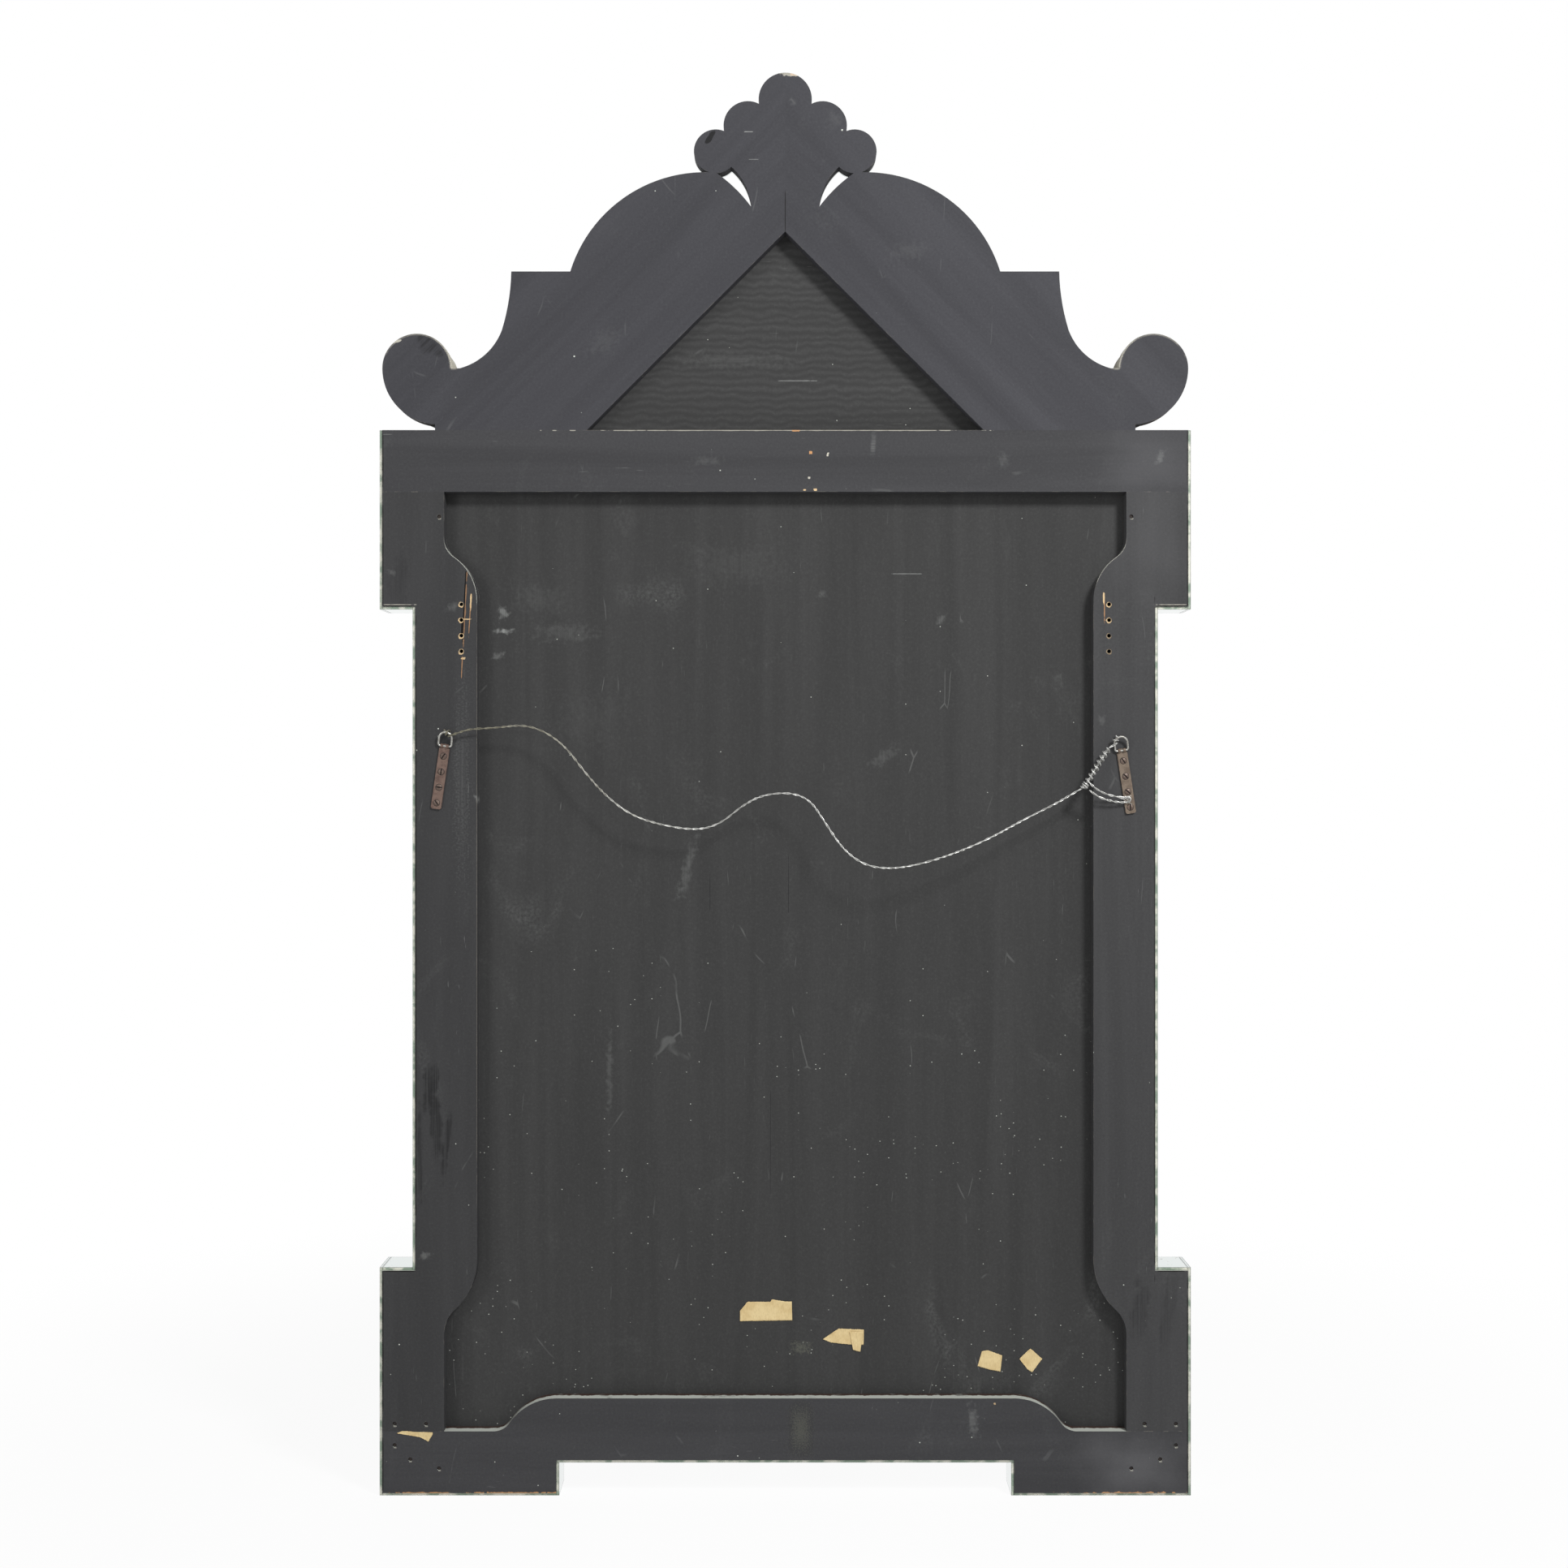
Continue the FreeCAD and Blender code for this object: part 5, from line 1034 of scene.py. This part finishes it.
wrap_route, core = wound(WRAP_TURNS, 0, WRAP_PITCH, 2 * WIRE_RADIUS + WRAP_GAP, WRAP_START)
wrap_route, wrap_way = with_ends(wrap_route, 2 * WIRE_RADIUS)
line = smooth_line("wrap_line", wrap_route)
wrap = wire_piece("wrap_strands", line, nearest_offset(line, core), "wire_wrap")
tail_route = np.vstack([wrap_route[-1], wrap_route[-1] + TAIL_LEAD * wrap_way, TAIL])
tail_line = smooth_line("tail_line", tail_route)
tail = wire_piece("hairpin_strands", tail_line, facing_front(tail_line), "wire_tail")
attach(tail, "frame")

knot_route, core = wound(0, KNOT_TURNS, KNOT_PITCH, KNOT_REACH, KNOT_START)
line = smooth_line("knot_line", knot_route)
knot = new_piece("knot_strands", *twisted(line, nearest_offset(line, core)), wire_steel)
FRAY_RADIUS = 0.32
FRAYS = [
    [(404, 6.2, -61.8), (410, 6.4, -61.4), (414, 5.6, -60.9), (419, 4.4, -60.6)],
    [(404, 6.4, -62.4), (409, 6.9, -62.6), (414, 6.2, -64), (418, 4.6, -66)],
    [(403, 6.6, -62.6), (408, 7.2, -63.8), (413, 6.4, -67), (420, 4.6, -70.5)],
    [(405, 6.1, -62.2), (411, 6.9, -63.2), (415, 5.6, -65.5), (417, 4.7, -69)],
]
frays = []
for places in FRAYS:
    line = smooth_line("fray_line", on_route(*places))
    frays.append(tube(line, *cross_vectors(line, facing_front(line)), FRAY_RADIUS))
fray = new_piece("frayed_strands", *gathered(frays), wire_steel)
for piece in (knot, fray):
    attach(piece, "frame")

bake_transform(span)
for piece in (ring_end, wrap):
    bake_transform(piece)


# Tape scraps: torn bits of beige masking tape, just under an inch wide where they are whole.
# They are left on the panel and on the bottom rail, curling at their edges.
PANEL_FACE, RAIL_FACE = 19, 0
TAPE_THICKNESS, TAPE_LIFT, TAPE_RIPPLE, TORN_EDGE = 0.16, 0.5, 0.12, 0.14
masking, shader, place = new_material("masking_tape")
crepe = cloud(stretched(place, (900, 900, 260)), 1, 3)
stain = cloud(place, 55, 4)
tint = over(between(stain, 0.35, 0.7), seen(222, 200, 150), seen(206, 180, 128))
tint = coated(tint, (between(crepe, 0.45, 0.7), 0.3, seen(178, 150, 104)))
rough = graded(crepe, 0.2, 0.65)
feed(shader, {"Base Color": tint, "Roughness": rough, "Normal": bumped(crepe, 0.35, 0.0003)})

# Each scrap: the depth of the face that it lies on, then the corners of its lower and of its upper edge
SCRAPS = {
    "long_scrap": (
        PANEL_FACE,
        [(-55.3, 126.3), (-20, 126.9), (8.6, 127.4)],
        [(-55.3, 138.9), (-46.1, 150.1), (-18, 149.9), (-16.7, 153.2), (-1, 150.4), (8, 150.4)],
    ),
    "folded_scrap": (
        PANEL_FACE,
        [(46.6, 104), (56.1, 100.2), (78, 97.8), (95.8, 97.6)],
        [(46.6, 105), (65.3, 117.3), (80, 116.6), (96.2, 116.2)],
    ),
    "square_scrap": (
        PANEL_FACE,
        [(235.1, 71.4), (250, 67), (263, 64.7)],
        [(240.4, 89.6), (247.9, 90.7), (265.3, 84.4)],
    ),
    "diamond_scrap": (
        PANEL_FACE,
        [(286.3, 80.2), (296, 67.6), (301.7, 63.6), (314, 80.2)],
        [(286.3, 80.4), (299.8, 93), (314, 80.4)],
    ),
    "torn_wedge": (
        RAIL_FACE,
        [(-471, -4.7), (-443, -9.5), (-433.1, -14.9), (-427.7, -6)],
        [(-471, -4.4), (-464.8, -1.8), (-448, -3), (-427.7, -3.4)],
    ),
    "folded_flap": (
        PANEL_FACE - 0.5,
        [(82.9, 91.5), (87, 90), (91.8, 89.3)],
        [(78.6, 113.5), (95, 113.5)],
    ),
}
rng = np.random.default_rng(7)


def edge_points(corners, share):
    """Points along a run of corners at shares of its length."""
    corners = np.array(corners, float)
    far = travelled(corners)
    return at_lengths(share * far[-1], far, corners)


def tape_surface(face, lower, upper):
    """A scrap's points: straight between its lower edge and its upper one, both torn by chance. It stands off
    its face by its thickness, a ripple, and a curl that grows with the sixth power towards its borders."""
    u, v = np.linspace(0, 1, 49), np.linspace(0, 1, 17)
    low, high = edge_points(lower, u), edge_points(upper, u)
    flat = low[:, None, :] + (high - low)[:, None, :] * v[None, :, None]
    flat = flat + rng.normal(0, TORN_EDGE, flat.shape) * (np.abs(v - 0.5) > 0.49)[None, :, None]
    curl = TAPE_LIFT * (np.abs(2 * u - 1)[:, None] ** 6 + 0.6 * np.abs(2 * v - 1)[None, :] ** 6)
    ripple = TAPE_RIPPLE * np.sin(9 * u[:, None] + 3 * v[None, :]) ** 2
    depth = face - TAPE_THICKNESS - curl - ripple
    return np.stack([flat[..., 0], depth, flat[..., 1]], axis=-1)


for name, outline in SCRAPS.items():
    surface = tape_surface(*outline)
    scrap = new_piece(name, surface.reshape(-1, 3), grid_faces(*surface.shape[:2]), masking)
    scrap.modifiers.new("thickness", "SOLIDIFY").thickness = TAPE_THICKNESS * MM
    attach(scrap, "frame")

# Studio: a pale floor, a white surround, a key light high to the right, a weaker one to the left and a soft
# fill from the camera's side. The floor glows, and the surround is fully white, only for rays that the eye
# sees: straight, in a reflection or through glass.
FLOOR_HALF, FLOOR_GAP = 9, 0.0005
AMBIENT = 0.24
WHITE = (1, 1, 1, 1)


def seen_rays(tree):
    """1 for rays from the camera, a reflection or through glass, and 0 for light that falls on things."""
    path = put("ShaderNodeLightPath", {}, tree).outputs
    straight = reckon("MAXIMUM", path["Is Camera Ray"], path["Is Glossy Ray"])
    return reckon("MAXIMUM", straight, path["Is Transmission Ray"])


level = cad_box[0].z - FLOOR_GAP
mesh = bpy.data.meshes.new("floor")
corners = [(x * FLOOR_HALF, y * FLOOR_HALF, level) for x, y in ((-1, -1), (1, -1), (1, 1), (-1, 1))]
mesh.from_pydata(corners, [], [(0, 1, 2, 3)])
floor = bpy.data.objects.new("floor", mesh)
bpy.context.scene.collection.objects.link(floor)
pale, shader, place = new_material("pale_floor")
tint = over(cloud(place, 3), seen(246, 246, 245), seen(250, 250, 250))
feed(shader, {"Base Color": tint, "Roughness": 0.9, "Specular IOR Level": 0.0})
glow = put("ShaderNodeEmission", {"Color": WHITE, "Strength": 1.0}, pale.node_tree).outputs[0]
far = vector_sum("LENGTH", place)["Value"]
white = graded(between(far, 0.7, 1.8), 0.07, 0.93)
share = times(seen_rays(pale.node_tree), white)
mixed = put("ShaderNodeMixShader", {0: share, 1: shader.outputs[0], 2: glow}).outputs[0]
output = next(item for item in pale.node_tree.nodes if item.type == "OUTPUT_MATERIAL")
feed(output, {"Surface": mixed})
mesh.materials.append(pale)

world = bpy.data.worlds.new("studio")
bpy.context.scene.world = world
world.use_nodes = True
world.node_tree.nodes.clear()
strength = graded(seen_rays(world.node_tree), 1.0 - AMBIENT, AMBIENT)
surround = put("ShaderNodeBackground", {"Color": WHITE, "Strength": strength}).outputs[0]
put("ShaderNodeOutputWorld", {"Surface": surround})


def soft_lamp(name, place, target, size, power):
    """A square lamp that looks at a point."""
    lamp = bpy.data.lights.new(name, "AREA")
    lamp.size = size
    lamp.energy = power
    holder = bpy.data.objects.new(name, lamp)
    holder.location = place
    aim = Vector(target) - Vector(place)
    holder.rotation_euler = aim.to_track_quat("-Z", "Y").to_euler()
    bpy.context.scene.collection.objects.link(holder)


soft_lamp("key", place=(1.5, -2.1, 2.75), target=(0, 0, 0.8), size=0.6, power=86)
soft_lamp("side", place=(-1.9, -1.9, 1.3), target=(0, 0, 0.7), size=0.8, power=14)
soft_lamp("fill", place=(0, -3.4, 1.2), target=(0, 0, 0.7), size=2.2, power=8)

# Camera: square to the back and level with the slack wire, where the photograph was taken from,
# with the photograph's square frame in its angle of view.
VIEW_ANGLE = 42.13
EYE = (-0.0015, -2.470, 0.783)
camera = bpy.data.cameras.new("camera")
camera.sensor_width = 36
camera.angle = math.radians(VIEW_ANGLE)
eye = bpy.data.objects.new("camera", camera)
eye.location = EYE
eye.rotation_euler = (math.pi / 2, 0, 0)
bpy.context.scene.collection.objects.link(eye)
bpy.context.scene.camera = eye
bpy.context.scene.view_settings.view_transform = "Standard"
